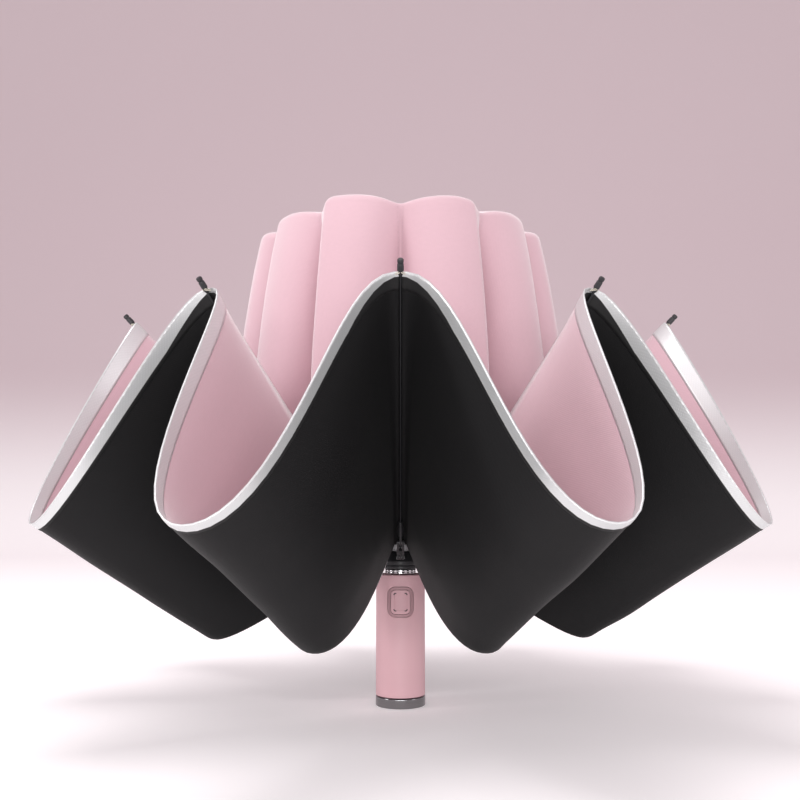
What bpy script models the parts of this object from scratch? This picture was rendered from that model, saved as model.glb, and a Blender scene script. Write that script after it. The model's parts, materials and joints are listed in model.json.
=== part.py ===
"""Ten-rib inverted umbrella at real size, in metres, standing on the foot of its handle.

The shaft is pushed together and the canopy is turned outside-in: it comes down round the middle ribs, folds at
the lower elbows and rises outwards on the outer ribs. +Z is up, the origin is the centre of the handle's foot
and the button faces -Y, as does the first rib. A rib's own frame has X along the rib, Z towards the cloth and Y
across it.
"""

import math

import bmesh
import bpy
from mathutils import Matrix, Vector

# Ribs: how many, how long, and how they stand when the canopy is inverted
RIB_COUNT = 10
FRONT_AZIMUTH = math.radians(-90)
CROWN_PIVOT_RADIUS = 0.012
TOP_RIB_LENGTH = 0.0757
TOP_RIB_ANGLE = math.radians(-15)
MIDDLE_RIB_LENGTH = 0.2268
ELBOW_LENGTH = 0.014
OUTER_RIB_LENGTH = 0.2095
OUTER_RIB_ANGLE = math.radians(44.6)
ELBOW_PIVOT_RADIUS = 0.030
STRETCHER_LENGTH = 0.140
STRETCHER_REACH = 0.060
RUNNER_PIVOT_RADIUS = 0.012

# Links: sections and hinges
LINK_HEIGHT = 0.0032
LINK_WIDTH = 0.0024
FORK_WIDTH = 0.0048
TONGUE_WIDTH = 0.0014
TONGUE_LENGTH = 0.0072
SLOT_LENGTH = 0.0070
FORK_LENGTH = 0.0095
PIN_RADIUS = 0.0009
STRETCHER_HEIGHT = 0.0026
STRETCHER_SLOT_LENGTH = 0.019
STRETCHER_FORK_LENGTH = 0.023

# Outer ribs
FERRULE_RADIUS = 0.0020
FERRULE_LENGTH = 0.012
ROD_RADIUS = 0.0008
TIP_CAP_RADIUS = 0.0018
TIP_CAP_LENGTH = 0.0072
TIP_CAP_EDGE = 0.0006

# Clearances
CLEARANCE = 0.0003
CUT_OVERRUN = 0.004

# Handle
FOOT_CAP_HEIGHT = 0.0066
FOOT_CAP_OVERHANG = 0.0002
FOOT_CAP_PLUG = 0.004
FOOT_CAP_EDGE = 0.0008
GRIP_RADIUS = 0.0168
GRIP_WALL = 0.0015
GRIP_LENGTH = 0.0806
GRIP_EDGE = 0.0008
GRIP_TOP_WALL = 0.003
RING_RADIUS = 0.0108
RING_HEIGHT = 0.0029
COLLAR_RADIUS = 0.0112
COLLAR_HEIGHT = 0.0055
COLLAR_SLOPE_HEIGHT = 0.0065
COLLAR_LIP = 0.0012

# Button and its bezel
BUTTON_WIDTH = 0.0130
BUTTON_HEIGHT = 0.0158
BUTTON_CORNER = 0.0030
BUTTON_PROUD = 0.0005
BUTTON_TRAVEL = 0.0015
BUTTON_FLANGE = 0.0010
BUTTON_FLANGE_DEPTH = 0.0012
BUTTON_DROP = 0.0178
BEZEL_FRAME = 0.0020
BEZEL_PROUD = 0.0003
BEZEL_DEPTH = 0.0035

# Shaft
TUBE_WALL = 0.0006
LOWER_TUBE_RADIUS = 0.0042
LOWER_TUBE_DEPTH = 0.073
TUBE_STEP = 0.010
TUBE_FOOT_STEP = 0.0005

# Crown, runner and top cap
HUB_WALL = 0.0022
HUB_REACH = 0.0025
HUB_HALF_HEIGHT = 0.0016
RUNNER_ABOVE = 0.010
RUNNER_SLEEVE = 0.0253
RUNNER_CLEARANCE = 0.0047
CAP_REACH = 0.0015
CAP_HEIGHT = 0.0045
CAP_EDGE = 0.0020
CAP_STEM = 0.006

# Canopy: its distance from the ribs, its thickness and how it hangs between them
CLOTH_THICKNESS = 0.0008
CLOTH_STANDOFF = 0.0029
CLOTH_TIP_STANDOFF = 0.0016
CLOTH_FLAT_HALF = 0.0032
HEM_SETBACK = 0.008
HEM_STRIP_WIDTH = 0.009
TROUGH_RADIUS = 0.147
TROUGH_DROP = 0.049
HEM_RISE = 0.020
SHOULDER_BULGE_SHARE = 1.045
HEM_BULGE_SHARE = 1.470
NOSE_SHARE = 0.5
FLAT_SHARE = 0.45
# Each pair is a share of the way out and of the way down from the shoulder to the trough
COLUMN_SHARES = ((0.376, 0.227), (0.505, 0.468), (0.596, 0.726), (0.67, 0.893), (0.817, 0.978))
# Each pair is a share of the way out and of the way up from the trough to the hem
SKIRT_SHARES = ((0.113, 0.10), (0.504, 0.493))
# Rows of cloth as shares of the middle and of the outer ribs
COLUMN_ROW_SHARES = (0.333, 0.667)
SKIRT_ROW_SHARES = (0.32, 0.65)
HALF_GORE_STEPS = 3

# How finely round shapes are cut
TUBE_SIDES = 20
GRIP_SIDES = 40
PIN_SIDES = 8
ROD_SIDES = 8
EDGE_SEGMENTS = 3
CORNER_STEPS = 4
CURVE_STEPS = 24
MERGE_SHARE = 0.001

# Colours, as linear red, green and blue
PINK_GRIP = (0.66, 0.38, 0.42)
PINK_CLOTH = (0.72, 0.46, 0.55)
CHROME = (0.80, 0.79, 0.80)
STEEL = (0.33, 0.34, 0.35)
DARK_PLASTIC = (0.02, 0.02, 0.022)
SILVER_TAPE = (0.45, 0.50, 0.50)

GORE_HALF_ANGLE = math.pi / RIB_COUNT
MERGE_DISTANCE = MERGE_SHARE * CLEARANCE


def away(point, angle, distance):
    """The (radius, height) at a distance from a point, in the plane of a rib."""
    return point[0] + distance * math.cos(angle), point[1] + distance * math.sin(angle)


# Levels of the handle, from its foot up
GRIP_FOOT = FOOT_CAP_HEIGHT + CLEARANCE
GRIP_TOP = GRIP_FOOT + GRIP_LENGTH
RING_FOOT = GRIP_TOP + CLEARANCE
COLLAR_FOOT = RING_FOOT + RING_HEIGHT + CLEARANCE
COLLAR_TOP = COLLAR_FOOT + COLLAR_HEIGHT + COLLAR_SLOPE_HEIGHT
BUTTON_CENTRE = GRIP_TOP - BUTTON_DROP

# Radii of the shaft, each tube outside the last
MIDDLE_TUBE_RADIUS = LOWER_TUBE_RADIUS + CLEARANCE + TUBE_WALL
UPPER_TUBE_RADIUS = MIDDLE_TUBE_RADIUS + CLEARANCE + TUBE_WALL
RUNNER_RADIUS = UPPER_TUBE_RADIUS + CLEARANCE + HUB_WALL

# Runner, standing clear of the collar, then the pivots in the plane of a rib, worked up from it
RUNNER_FOOT = COLLAR_TOP + RUNNER_CLEARANCE
RUNNER_RIM_FOOT = RUNNER_FOOT + RUNNER_SLEEVE
RUNNER = (RUNNER_PIVOT_RADIUS, RUNNER_RIM_FOOT + HUB_HALF_HEIGHT)
UPPER_ELBOW_RADIUS = CROWN_PIVOT_RADIUS + TOP_RIB_LENGTH * math.cos(TOP_RIB_ANGLE)
MIDDLE_RIB_ANGLE = -math.pi / 2 - math.asin((UPPER_ELBOW_RADIUS - ELBOW_PIVOT_RADIUS) / MIDDLE_RIB_LENGTH)
STRETCHER_HEAD_RADIUS = UPPER_ELBOW_RADIUS + STRETCHER_REACH * math.cos(MIDDLE_RIB_ANGLE)
STRETCHER_ANGLE = math.acos((STRETCHER_HEAD_RADIUS - RUNNER_PIVOT_RADIUS) / STRETCHER_LENGTH)
STRETCHER_HEAD = away(RUNNER, STRETCHER_ANGLE, STRETCHER_LENGTH)
UPPER_ELBOW = away(STRETCHER_HEAD, MIDDLE_RIB_ANGLE, -STRETCHER_REACH)
LOWER_ELBOW = away(UPPER_ELBOW, MIDDLE_RIB_ANGLE, MIDDLE_RIB_LENGTH)
CROWN = away(UPPER_ELBOW, TOP_RIB_ANGLE, -TOP_RIB_LENGTH)
OUTER_PIVOT = away(LOWER_ELBOW, OUTER_RIB_ANGLE, ELBOW_LENGTH)

# Tubes, each ending a step below the next one out
UPPER_TUBE_FOOT = COLLAR_FOOT + 2 * TUBE_FOOT_STEP + CLEARANCE
MIDDLE_TUBE_FOOT = UPPER_TUBE_FOOT - TUBE_FOOT_STEP
LOWER_TUBE_FOOT = GRIP_TOP - LOWER_TUBE_DEPTH
CROWN_TOP = CROWN[1] + HUB_HALF_HEIGHT
MIDDLE_TUBE_TOP = CROWN_TOP - TUBE_STEP
LOWER_TUBE_TOP = MIDDLE_TUBE_TOP - TUBE_STEP
CAP_FOOT = CROWN[1] + CLOTH_STANDOFF + CLOTH_THICKNESS / 2 + CLEARANCE


# Materials and objects


def material(name, colour, roughness, metallic):
    made = bpy.data.materials.new(name)
    made.use_nodes = True
    shader = made.node_tree.nodes["Principled BSDF"]
    shader.inputs["Base Color"].default_value = (*colour, 1)
    shader.inputs["Roughness"].default_value = roughness
    shader.inputs["Metallic"].default_value = metallic
    return made


def placed(name, mesh, look, location=(0, 0, 0), rotation=(0, 0, 0), parent=None):
    """A new object in the scene, in its parent's frame."""
    made = bpy.data.objects.new(name, mesh)
    if look and not mesh.materials:
        mesh.materials.append(look)
    made.location = location
    made.rotation_euler = rotation
    made.parent = parent
    bpy.context.scene.collection.objects.link(made)
    return made


# Meshes


def finished(work, name):
    """Closes a bmesh into a mesh with its doubles merged and its faces pointing out."""
    bmesh.ops.remove_doubles(work, verts=work.verts, dist=MERGE_DISTANCE)
    bmesh.ops.recalc_face_normals(work, faces=work.faces)
    mesh = bpy.data.meshes.new(name)
    work.to_mesh(mesh)
    work.free()
    return mesh


def turned(name, profile, sides, closed=True):
    """A solid of revolution about Z. The profile of (radius, height) is a loop, or ends on the axis at both ends."""
    work = bmesh.new()
    points = [work.verts.new((radius, 0, height)) for radius, height in profile]
    ends = points[1:] + points[:1] if closed else points[1:]
    edges = [work.edges.new(pair) for pair in zip(points, ends)]
    bmesh.ops.spin(
        work,
        geom=points + edges,
        cent=(0, 0, 0),
        axis=(0, 0, 1),
        angle=2 * math.pi,
        steps=sides,
    )
    return finished(work, name)


def bored(name, outer, inner, foot, top, sides):
    """A plain tube."""
    return turned(name, [(inner, foot), (outer, foot), (outer, top), (inner, top)], sides)


def extruded(name, outline, low, high, rounded=()):
    """A flat outline in XY raised from low to high along Z. Edges along Y at each x in rounded turn half round."""
    work = bmesh.new()
    face = work.faces.new([work.verts.new((x, y, low)) for x, y in outline])
    raised = bmesh.ops.extrude_face_region(work, geom=[face])["geom"]
    lift = Vector((0, 0, high - low))
    bmesh.ops.translate(work, verts=[v for v in raised if isinstance(v, bmesh.types.BMVert)], vec=lift)
    ends = [
        edge
        for edge in work.edges
        if edge.verts[0].co.z == edge.verts[1].co.z
        and any(abs(v.co.x - x) + abs(w.co.x - x) < CLEARANCE for x in rounded for v, w in [edge.verts])
    ]
    if ends:
        bmesh.ops.bevel(
            work,
            geom=ends,
            offset=(high - low) / 2,
            segments=EDGE_SEGMENTS,
            affect="EDGES",
            profile=0.5,
            clamp_overlap=True,
        )
    return finished(work, name)


def cylinder_along(name, axis, radius, length, centre, sides):
    """A round bar along X, Y or Z, about its centre."""
    work = bmesh.new()
    bmesh.ops.create_cone(
        work, cap_ends=True, segments=sides, radius1=radius, radius2=radius, depth=length
    )
    turn = {"X": Matrix.Rotation(math.pi / 2, 4, "Y"), "Y": Matrix.Rotation(math.pi / 2, 4, "X")}
    bmesh.ops.transform(work, matrix=turn.get(axis, Matrix()), verts=work.verts)
    bmesh.ops.translate(work, verts=work.verts, vec=centre)
    return finished(work, name)


def carved(name, mesh, *steps):
    """The mesh after each (operation, other mesh) in turn, by the exact solver."""
    base = placed("Carving", mesh, None)
    tools = []
    for operation, other in steps:
        tools.append(placed("Tool", other, None))
        boolean = base.modifiers.new(operation, "BOOLEAN")
        boolean.operation = operation
        boolean.solver = "EXACT"
        boolean.object = tools[-1]
    bpy.context.view_layer.update()
    graph = bpy.context.evaluated_depsgraph_get()
    result = bpy.data.meshes.new_from_object(base.evaluated_get(graph), depsgraph=graph)
    result.name = name
    for helper in (base, *tools):
        bpy.data.objects.remove(helper)
    return result


def repeated(name, mesh, count):
    """One mesh that holds copies of another, turned evenly about Z."""
    work = bmesh.new()
    for index in range(count):
        copy = mesh.copy()
        copy.transform(Matrix.Rotation(2 * math.pi * index / count, 4, "Z"))
        work.from_mesh(copy)
    return finished(work, name)


def smooth(mesh, angle=math.radians(35)):
    mesh.shade_smooth()
    mesh.set_sharp_from_angle(angle=angle)
    return mesh


# Links and their hinges


def link_outline(length, width, fork_length, slot_length, slot_width, eye):
    """A link seen from above: a thin tongue at x = 0, a body, and a fork at x = length."""
    half = [
        (-eye, TONGUE_WIDTH / 2),
        (TONGUE_LENGTH, TONGUE_WIDTH / 2),
        (TONGUE_LENGTH, width / 2),
        (length - fork_length, width / 2),
        (length - fork_length, FORK_WIDTH / 2),
        (length + eye, FORK_WIDTH / 2),
        (length + eye, slot_width / 2),
        (length - slot_length, slot_width / 2),
    ]
    if width == FORK_WIDTH:
        half = half[:3] + half[5:]
    return half + [(x, -y) for x, y in reversed(half)]


def tongue_hole(length=TONGUE_WIDTH):
    return cylinder_along(
        "Hole", "Y", PIN_RADIUS + CLEARANCE, length + CUT_OVERRUN, (0, 0, 0), PIN_SIDES
    )


def fork_pin(x, sides=PIN_SIDES):
    """The pin of a fork, sunk in both cheeks."""
    reach = (FORK_WIDTH + TONGUE_WIDTH) / 2 + CLEARANCE
    return cylinder_along("Pin", "Y", PIN_RADIUS, reach, (x, 0, 0), sides)


def hinged_link(name, length, width, riveted=False):
    """A link with a tongue at its origin, holed unless it is riveted, and a pinned fork at its end."""
    eye = LINK_HEIGHT / 2
    outline = link_outline(length, width, FORK_LENGTH, SLOT_LENGTH, TONGUE_WIDTH + 2 * CLEARANCE, eye)
    bar = extruded(name, outline, -LINK_HEIGHT / 2, LINK_HEIGHT / 2, rounded=(-eye, length + eye))
    holes = () if riveted else (("DIFFERENCE", tongue_hole()),)
    return carved(name, bar, *holes, ("UNION", fork_pin(length)))


def stretcher_mesh():
    """A stretcher, whose long fork straddles the middle rib where the two are riveted."""
    eye = STRETCHER_HEIGHT / 2
    slot = LINK_WIDTH + 2 * CLEARANCE
    outline = link_outline(
        STRETCHER_LENGTH, LINK_WIDTH, STRETCHER_FORK_LENGTH, STRETCHER_SLOT_LENGTH, slot, eye
    )
    ends = (-eye, STRETCHER_LENGTH + eye)
    bar = extruded("Stretcher", outline, -eye, eye, rounded=ends)
    return carved("Stretcher", bar, ("DIFFERENCE", tongue_hole()))


def outer_rib_mesh():
    """The wire with its tongue, ferrule and tip cap."""
    eye = LINK_HEIGHT / 2
    tongue_end = TONGUE_LENGTH + CLEARANCE
    half = [(-eye, TONGUE_WIDTH / 2), (tongue_end, TONGUE_WIDTH / 2)]
    outline = half + [(x, -y) for x, y in reversed(half)]
    tongue = extruded("Outer rib", outline, -eye, eye, rounded=(-eye,))
    tongue = carved("Outer rib", tongue, ("DIFFERENCE", tongue_hole()))
    cap_start = OUTER_RIB_LENGTH - TIP_CAP_LENGTH
    profile = [
        (0, TONGUE_LENGTH),
        (FERRULE_RADIUS, TONGUE_LENGTH),
        (FERRULE_RADIUS, TONGUE_LENGTH + FERRULE_LENGTH),
        (ROD_RADIUS, TONGUE_LENGTH + FERRULE_LENGTH),
        (ROD_RADIUS, cap_start),
        (TIP_CAP_RADIUS, cap_start),
        (TIP_CAP_RADIUS, OUTER_RIB_LENGTH - TIP_CAP_EDGE),
        (TIP_CAP_RADIUS - TIP_CAP_EDGE, OUTER_RIB_LENGTH),
        (0, OUTER_RIB_LENGTH),
    ]
    rod = turned("Rod", profile, ROD_SIDES, closed=False)
    rod.transform(Matrix.Rotation(math.pi / 2, 4, "Y"))
    return carved("Outer rib", tongue, ("UNION", rod))


def rib_frame(index):
    """The azimuth of one rib."""
    return FRONT_AZIMUTH + 2 * math.pi * index / RIB_COUNT


def on_rib(name, mesh, look, pivot, angle, index, parent):
    """An object on its pivot in the plane of one rib."""
    azimuth = rib_frame(index)
    radius, height = pivot
    place = (radius * math.cos(azimuth), radius * math.sin(azimuth), height)
    return placed(name, mesh, look, place, (0, -angle, azimuth), parent)


# Handle


def end_cap(look):
    radius = GRIP_RADIUS + FOOT_CAP_OVERHANG
    plug = GRIP_RADIUS - GRIP_WALL - CLEARANCE
    profile = [
        (0, 0),
        (radius - FOOT_CAP_EDGE, 0),
        (radius, FOOT_CAP_EDGE),
        (radius, FOOT_CAP_HEIGHT - FOOT_CAP_EDGE / 2),
        (radius - FOOT_CAP_EDGE / 2, FOOT_CAP_HEIGHT),
        (plug, FOOT_CAP_HEIGHT),
        (plug, FOOT_CAP_HEIGHT + FOOT_CAP_PLUG),
        (0, FOOT_CAP_HEIGHT + FOOT_CAP_PLUG),
    ]
    placed("end_cap", smooth(turned("End cap", profile, GRIP_SIDES, closed=False)), look)


def rounded_window(name, width, height, corner, near, far):
    """A rounded rectangle seen from the front, from y = -far to y = -near about the button's centre."""
    outline = []
    for quarter in range(4):
        start = quarter * math.pi / 2
        sign_x = 1 if quarter in (0, 3) else -1
        sign_y = 1 if quarter in (0, 1) else -1
        for step in range(CORNER_STEPS + 1):
            angle = start + step * math.pi / 2 / CORNER_STEPS
            outline.append(
                (
                    sign_x * (width / 2 - corner) + corner * math.cos(angle),
                    sign_y * (height / 2 - corner) + corner * math.sin(angle),
                )
            )
    mesh = extruded(name, outline, near, far)
    mesh.transform(Matrix.Rotation(math.pi / 2, 4, "X"))
    mesh.transform(Matrix.Translation((0, 0, BUTTON_CENTRE)))
    return mesh


def framed(name, grow, near, far):
    """A window larger than the button by the same margin all round."""
    return rounded_window(
        name, BUTTON_WIDTH + 2 * grow, BUTTON_HEIGHT + 2 * grow, BUTTON_CORNER + grow, near, far
    )


def curved_plate(name, grow, inner, outer):
    """A rounded rectangle of a tube about the handle's axis."""
    half = BUTTON_HEIGHT / 2 + grow + CUT_OVERRUN
    shell = bored(name, outer, inner, BUTTON_CENTRE - half, BUTTON_CENTRE + half, GRIP_SIDES)
    return carved(name, shell, ("INTERSECT", framed("Window", grow, 0, outer + CUT_OVERRUN)))


def handle_grip(look):
    bore = GRIP_RADIUS - GRIP_WALL
    profile = [
        (bore, GRIP_FOOT),
        (GRIP_RADIUS - GRIP_EDGE / 2, GRIP_FOOT),
        (GRIP_RADIUS, GRIP_FOOT + GRIP_EDGE / 2),
        (GRIP_RADIUS, GRIP_TOP - GRIP_EDGE),
        (GRIP_RADIUS - GRIP_EDGE, GRIP_TOP),
        (LOWER_TUBE_RADIUS + CLEARANCE, GRIP_TOP),
        (LOWER_TUBE_RADIUS + CLEARANCE, GRIP_TOP - GRIP_TOP_WALL),
        (bore, GRIP_TOP - GRIP_TOP_WALL),
    ]
    grip = turned("Handle grip", profile, GRIP_SIDES)
    hole = framed("Window", BEZEL_FRAME + CLEARANCE, 0, GRIP_RADIUS + CUT_OVERRUN)
    placed("handle_grip", smooth(carved("Handle grip", grip, ("DIFFERENCE", hole))), look)


def button_bezel(look):
    outer = GRIP_RADIUS + BEZEL_PROUD
    plate = curved_plate("Button bezel", BEZEL_FRAME, outer - BEZEL_DEPTH, outer)
    hole = framed("Window", CLEARANCE, 0, outer + CUT_OVERRUN)
    placed("button_bezel", smooth(carved("Button bezel", plate, ("DIFFERENCE", hole))), look)


def release_button(look):
    """The button, with a flange behind the bezel that keeps it in."""
    flange_outer = GRIP_RADIUS + BEZEL_PROUD - BEZEL_DEPTH - CLEARANCE
    flange_inner = flange_outer - BUTTON_FLANGE_DEPTH
    plunger = curved_plate("Plunger", 0, flange_inner, GRIP_RADIUS + BUTTON_PROUD)
    flange = curved_plate("Flange", BUTTON_FLANGE, flange_inner, flange_outer)
    placed("release_button", smooth(carved("Release button", plunger, ("UNION", flange))), look)


def grip_ring(look):
    bore = LOWER_TUBE_RADIUS + CLEARANCE
    mesh = bored("Grip ring", RING_RADIUS, bore, RING_FOOT, RING_FOOT + RING_HEIGHT, GRIP_SIDES)
    placed("grip_ring", smooth(mesh), look)


def handle_collar(look):
    bore = UPPER_TUBE_RADIUS + CLEARANCE
    profile = [
        (bore, COLLAR_FOOT),
        (COLLAR_RADIUS, COLLAR_FOOT),
        (COLLAR_RADIUS, COLLAR_FOOT + COLLAR_HEIGHT),
        (bore + COLLAR_LIP, COLLAR_TOP),
        (bore, COLLAR_TOP),
    ]
    placed("handle_collar", smooth(turned("Handle collar", profile, GRIP_SIDES)), look)


# Shaft


def shaft_tube(name, radius, foot, top, look):
    mesh = bored(name, radius, radius - TUBE_WALL, foot, top, TUBE_SIDES)
    placed(name, smooth(mesh), look)


def slotted_hub(name, profile, pivot_radius, height):
    """A turned hub with a slot and a pin for every rib or stretcher."""
    hub = turned(name, profile, TUBE_SIDES)
    slot_start = UPPER_TUBE_RADIUS + CLEARANCE + HUB_WALL
    slot_half = TONGUE_WIDTH / 2 + CLEARANCE
    slot_end = pivot_radius + HUB_REACH + CUT_OVERRUN
    outline = [(slot_start, -slot_half), (slot_end, -slot_half), (slot_end, slot_half), (slot_start, slot_half)]
    reach = HUB_HALF_HEIGHT + CLEARANCE
    slot = extruded("Slot", outline, height - reach, height + reach)
    reach = (FORK_WIDTH + TONGUE_WIDTH) / 2 + CLEARANCE
    pin = cylinder_along("Pin", "Y", PIN_RADIUS, reach, (pivot_radius, 0, height), PIN_SIDES)
    to_front = Matrix.Rotation(FRONT_AZIMUTH, 4, "Z")
    slots, pins = (repeated(part.name, part, RIB_COUNT) for part in (slot, pin))
    slots.transform(to_front)
    pins.transform(to_front)
    return smooth(carved(name, hub, ("DIFFERENCE", slots), ("UNION", pins)))


def top_ribs():
    """The ten short ribs, which are riveted in the crown."""
    rib = hinged_link("Top rib", TOP_RIB_LENGTH, LINK_WIDTH, riveted=True)
    rib.transform(Matrix.Rotation(-TOP_RIB_ANGLE, 4, "Y"))
    rib.transform(Matrix.Translation((CROWN[0], 0, CROWN[1])))
    ribs = repeated("Top ribs", rib, RIB_COUNT)
    ribs.transform(Matrix.Rotation(FRONT_AZIMUTH, 4, "Z"))
    return ribs


def crown(look):
    bore = UPPER_TUBE_RADIUS + CLEARANCE
    rim = CROWN_PIVOT_RADIUS + HUB_REACH
    low, high = CROWN[1] - HUB_HALF_HEIGHT, CROWN_TOP
    sleeve = low - RUNNER_ABOVE / 2
    profile = [
        (bore, sleeve),
        (bore + HUB_WALL, sleeve),
        (bore + HUB_WALL, low),
        (rim, low),
        (rim, high),
        (bore, high),
    ]
    notch = slotted_hub("Crown notch", profile, CROWN_PIVOT_RADIUS, CROWN[1])
    placed("crown_and_top_ribs", smooth(carved("Crown", notch, ("UNION", top_ribs()))), look)


def runner(look):
    bore = UPPER_TUBE_RADIUS + CLEARANCE
    rim = RUNNER_PIVOT_RADIUS + HUB_REACH
    height = RUNNER[1]
    profile = [
        (bore, RUNNER_FOOT),
        (RUNNER_RADIUS, RUNNER_FOOT),
        (RUNNER_RADIUS, RUNNER_RIM_FOOT),
        (rim, RUNNER_RIM_FOOT),
        (rim, height + HUB_HALF_HEIGHT),
        (RUNNER_RADIUS, height + HUB_HALF_HEIGHT),
        (RUNNER_RADIUS, height + RUNNER_ABOVE),
        (bore, height + RUNNER_ABOVE),
    ]
    return placed("runner", slotted_hub("Runner", profile, RUNNER_PIVOT_RADIUS, height), look)


def top_cap(look):
    rim = CROWN_PIVOT_RADIUS + HUB_REACH + CAP_REACH
    stem = UPPER_TUBE_RADIUS - TUBE_WALL - CLEARANCE
    profile = [
        (0, CAP_FOOT - CAP_STEM),
        (stem, CAP_FOOT - CAP_STEM),
        (stem, CAP_FOOT),
        (rim, CAP_FOOT),
        (rim, CAP_FOOT + CAP_HEIGHT - CAP_EDGE),
        (rim - CAP_EDGE, CAP_FOOT + CAP_HEIGHT),
        (0, CAP_FOOT + CAP_HEIGHT),
    ]
    placed("top_cap", smooth(turned("Top cap", profile, TUBE_SIDES, closed=False)), look)


# Canopy


def mitre(corner, angle_in, angle_out, distance):
    """The corner of a line that stays at a distance on the cloth's side of two ribs."""
    one = (-math.sin(angle_in), math.cos(angle_in))
    two = (-math.sin(angle_out), math.cos(angle_out))
    scale = distance / (1 + one[0] * two[0] + one[1] * two[1])
    return corner[0] + scale * (one[0] + two[0]), corner[1] + scale * (one[1] + two[1])


def rib_line():
    """(radius, height) of the cloth over a rib: crown, shoulder, fold and hem."""
    crown = away(CROWN, TOP_RIB_ANGLE + math.pi / 2, CLOTH_STANDOFF)
    shoulder = mitre(UPPER_ELBOW, TOP_RIB_ANGLE, MIDDLE_RIB_ANGLE, CLOTH_STANDOFF)
    fold = mitre(LOWER_ELBOW, MIDDLE_RIB_ANGLE, OUTER_RIB_ANGLE, CLOTH_STANDOFF)
    hem = away(OUTER_PIVOT, OUTER_RIB_ANGLE, OUTER_RIB_LENGTH - HEM_SETBACK)
    hem = away(hem, OUTER_RIB_ANGLE + math.pi / 2, CLOTH_TIP_STANDOFF)
    return [crown, shoulder, fold, hem]


def between(start, end, shares):
    return [
        (start[0] + out * (end[0] - start[0]), start[1] + down * (end[1] - start[1]))
        for out, down in shares
    ]


def gore_line():
    """(radius, height) of the cloth half way between two ribs, as a smooth line."""
    crown, shoulder, _, rib_hem = rib_line()
    shoulder = (shoulder[0] * SHOULDER_BULGE_SHARE, shoulder[1])
    trough = (TROUGH_RADIUS, LOWER_ELBOW[1] - TROUGH_DROP)
    hem = (rib_hem[0] * HEM_BULGE_SHARE, LOWER_ELBOW[1] + HEM_RISE)
    points = [crown, shoulder, *between(shoulder, trough, COLUMN_SHARES), trough]
    points += [*between(trough, hem, SKIRT_SHARES), hem]
    return smooth_line(points)


def smooth_line(points):
    """A Catmull-Rom curve through the points."""
    padded = [points[0], *points, points[-1]]
    line = []
    for a, b, c, d in zip(padded, padded[1:], padded[2:], padded[3:]):
        for step in range(CURVE_STEPS):
            t = step / CURVE_STEPS
            weights = (
                (-t + 2 * t**2 - t**3) / 2,
                (2 - 5 * t**2 + 3 * t**3) / 2,
                (t + 4 * t**2 - 3 * t**3) / 2,
                (-(t**2) + t**3) / 2,
            )
            line.append(
                tuple(sum(w * p[k] for w, p in zip(weights, (a, b, c, d))) for k in range(2))
            )
    return [*line, points[-1]]


def lengths_along(line):
    total = [0]
    for start, end in zip(line, line[1:]):
        total.append(total[-1] + math.dist(start, end))
    return total


def point_at(line, share):
    """The point at a share of the line's length."""
    along = lengths_along(line)
    target = share * along[-1]
    for index in range(len(line) - 1):
        if target <= along[index + 1] or index == len(line) - 2:
            t = (target - along[index]) / (along[index + 1] - along[index])
            (x0, y0), (x1, y1) = line[index], line[index + 1]
            return x0 + t * (x1 - x0), y0 + t * (y1 - y0)


def half_gore(share, ribs, gore):
    """Points of one row from beside a rib to the middle of the gore, in that rib's frame."""
    radius, height = point_at(ribs, share)
    far_radius, far_height = point_at(gore, share)
    sine, cosine = math.sin(GORE_HALF_ANGLE), math.cos(GORE_HALF_ANGLE)
    start = Vector((radius, min(CLOTH_FLAT_HALF, FLAT_SHARE * radius * sine), height))
    end = Vector((far_radius * cosine, far_radius * sine, far_height))
    nose = NOSE_SHARE * far_radius * sine
    pull = end - nose * Vector((-sine, cosine, 0))
    lean = start.lerp(pull, 0.5)
    row = []
    for step in range(HALF_GORE_STEPS + 1):
        t = step / HALF_GORE_STEPS
        s = 1 - t
        row.append(s**3 * start + 3 * s**2 * t * lean + 3 * s * t**2 * pull + t**3 * end)
    return row


def cloth_ring(share, ribs, gore):
    """One closed row of cloth round the umbrella."""
    half = half_gore(share, ribs, gore)
    mirrored = [Vector((p.x, -p.y, p.z)) for p in half]
    ring = []
    for index in range(RIB_COUNT):
        here = Matrix.Rotation(rib_frame(index), 4, "Z")
        following = Matrix.Rotation(rib_frame(index + 1), 4, "Z")
        ring += [here @ p for p in half]
        ring += [following @ p for p in reversed(mirrored[:-1])]
    return ring


def cloth_mesh(name, shares):
    """A closed sheet of even thickness through the rows."""
    ribs, gore = rib_line(), gore_line()
    rings = [cloth_ring(share, ribs, gore) for share in shares]
    work = bmesh.new()
    grid = [[work.verts.new(p) for p in ring] for ring in rings]
    count = len(grid[0])
    for upper, lower in zip(grid, grid[1:]):
        for index in range(count):
            following = (index + 1) % count
            work.faces.new((upper[index], upper[following], lower[following], lower[index]))
    work.normal_update()
    skins = []
    for side in (1, -1):
        shift = side * CLOTH_THICKNESS / 2
        skins.append([[v.co + shift * v.normal for v in ring] for ring in grid])
    work.free()
    return sheet_between(name, *skins)


def sheet_between(name, front, back):
    work = bmesh.new()
    faces = [[[work.verts.new(p) for p in ring] for ring in skin] for skin in (front, back)]
    rows, count = len(front), len(front[0])
    for skin in faces:
        for row in range(rows - 1):
            for index in range(count):
                following = (index + 1) % count
                ends = (skin[row][index], skin[row][following], skin[row + 1][following], skin[row + 1][index])
                work.faces.new(ends)
    for row in (0, rows - 1):
        for index in range(count):
            following = (index + 1) % count
            ends = (faces[0][row][index], faces[0][row][following])
            work.faces.new((*ends, faces[1][row][following], faces[1][row][index]))
    return finished(work, name)


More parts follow.
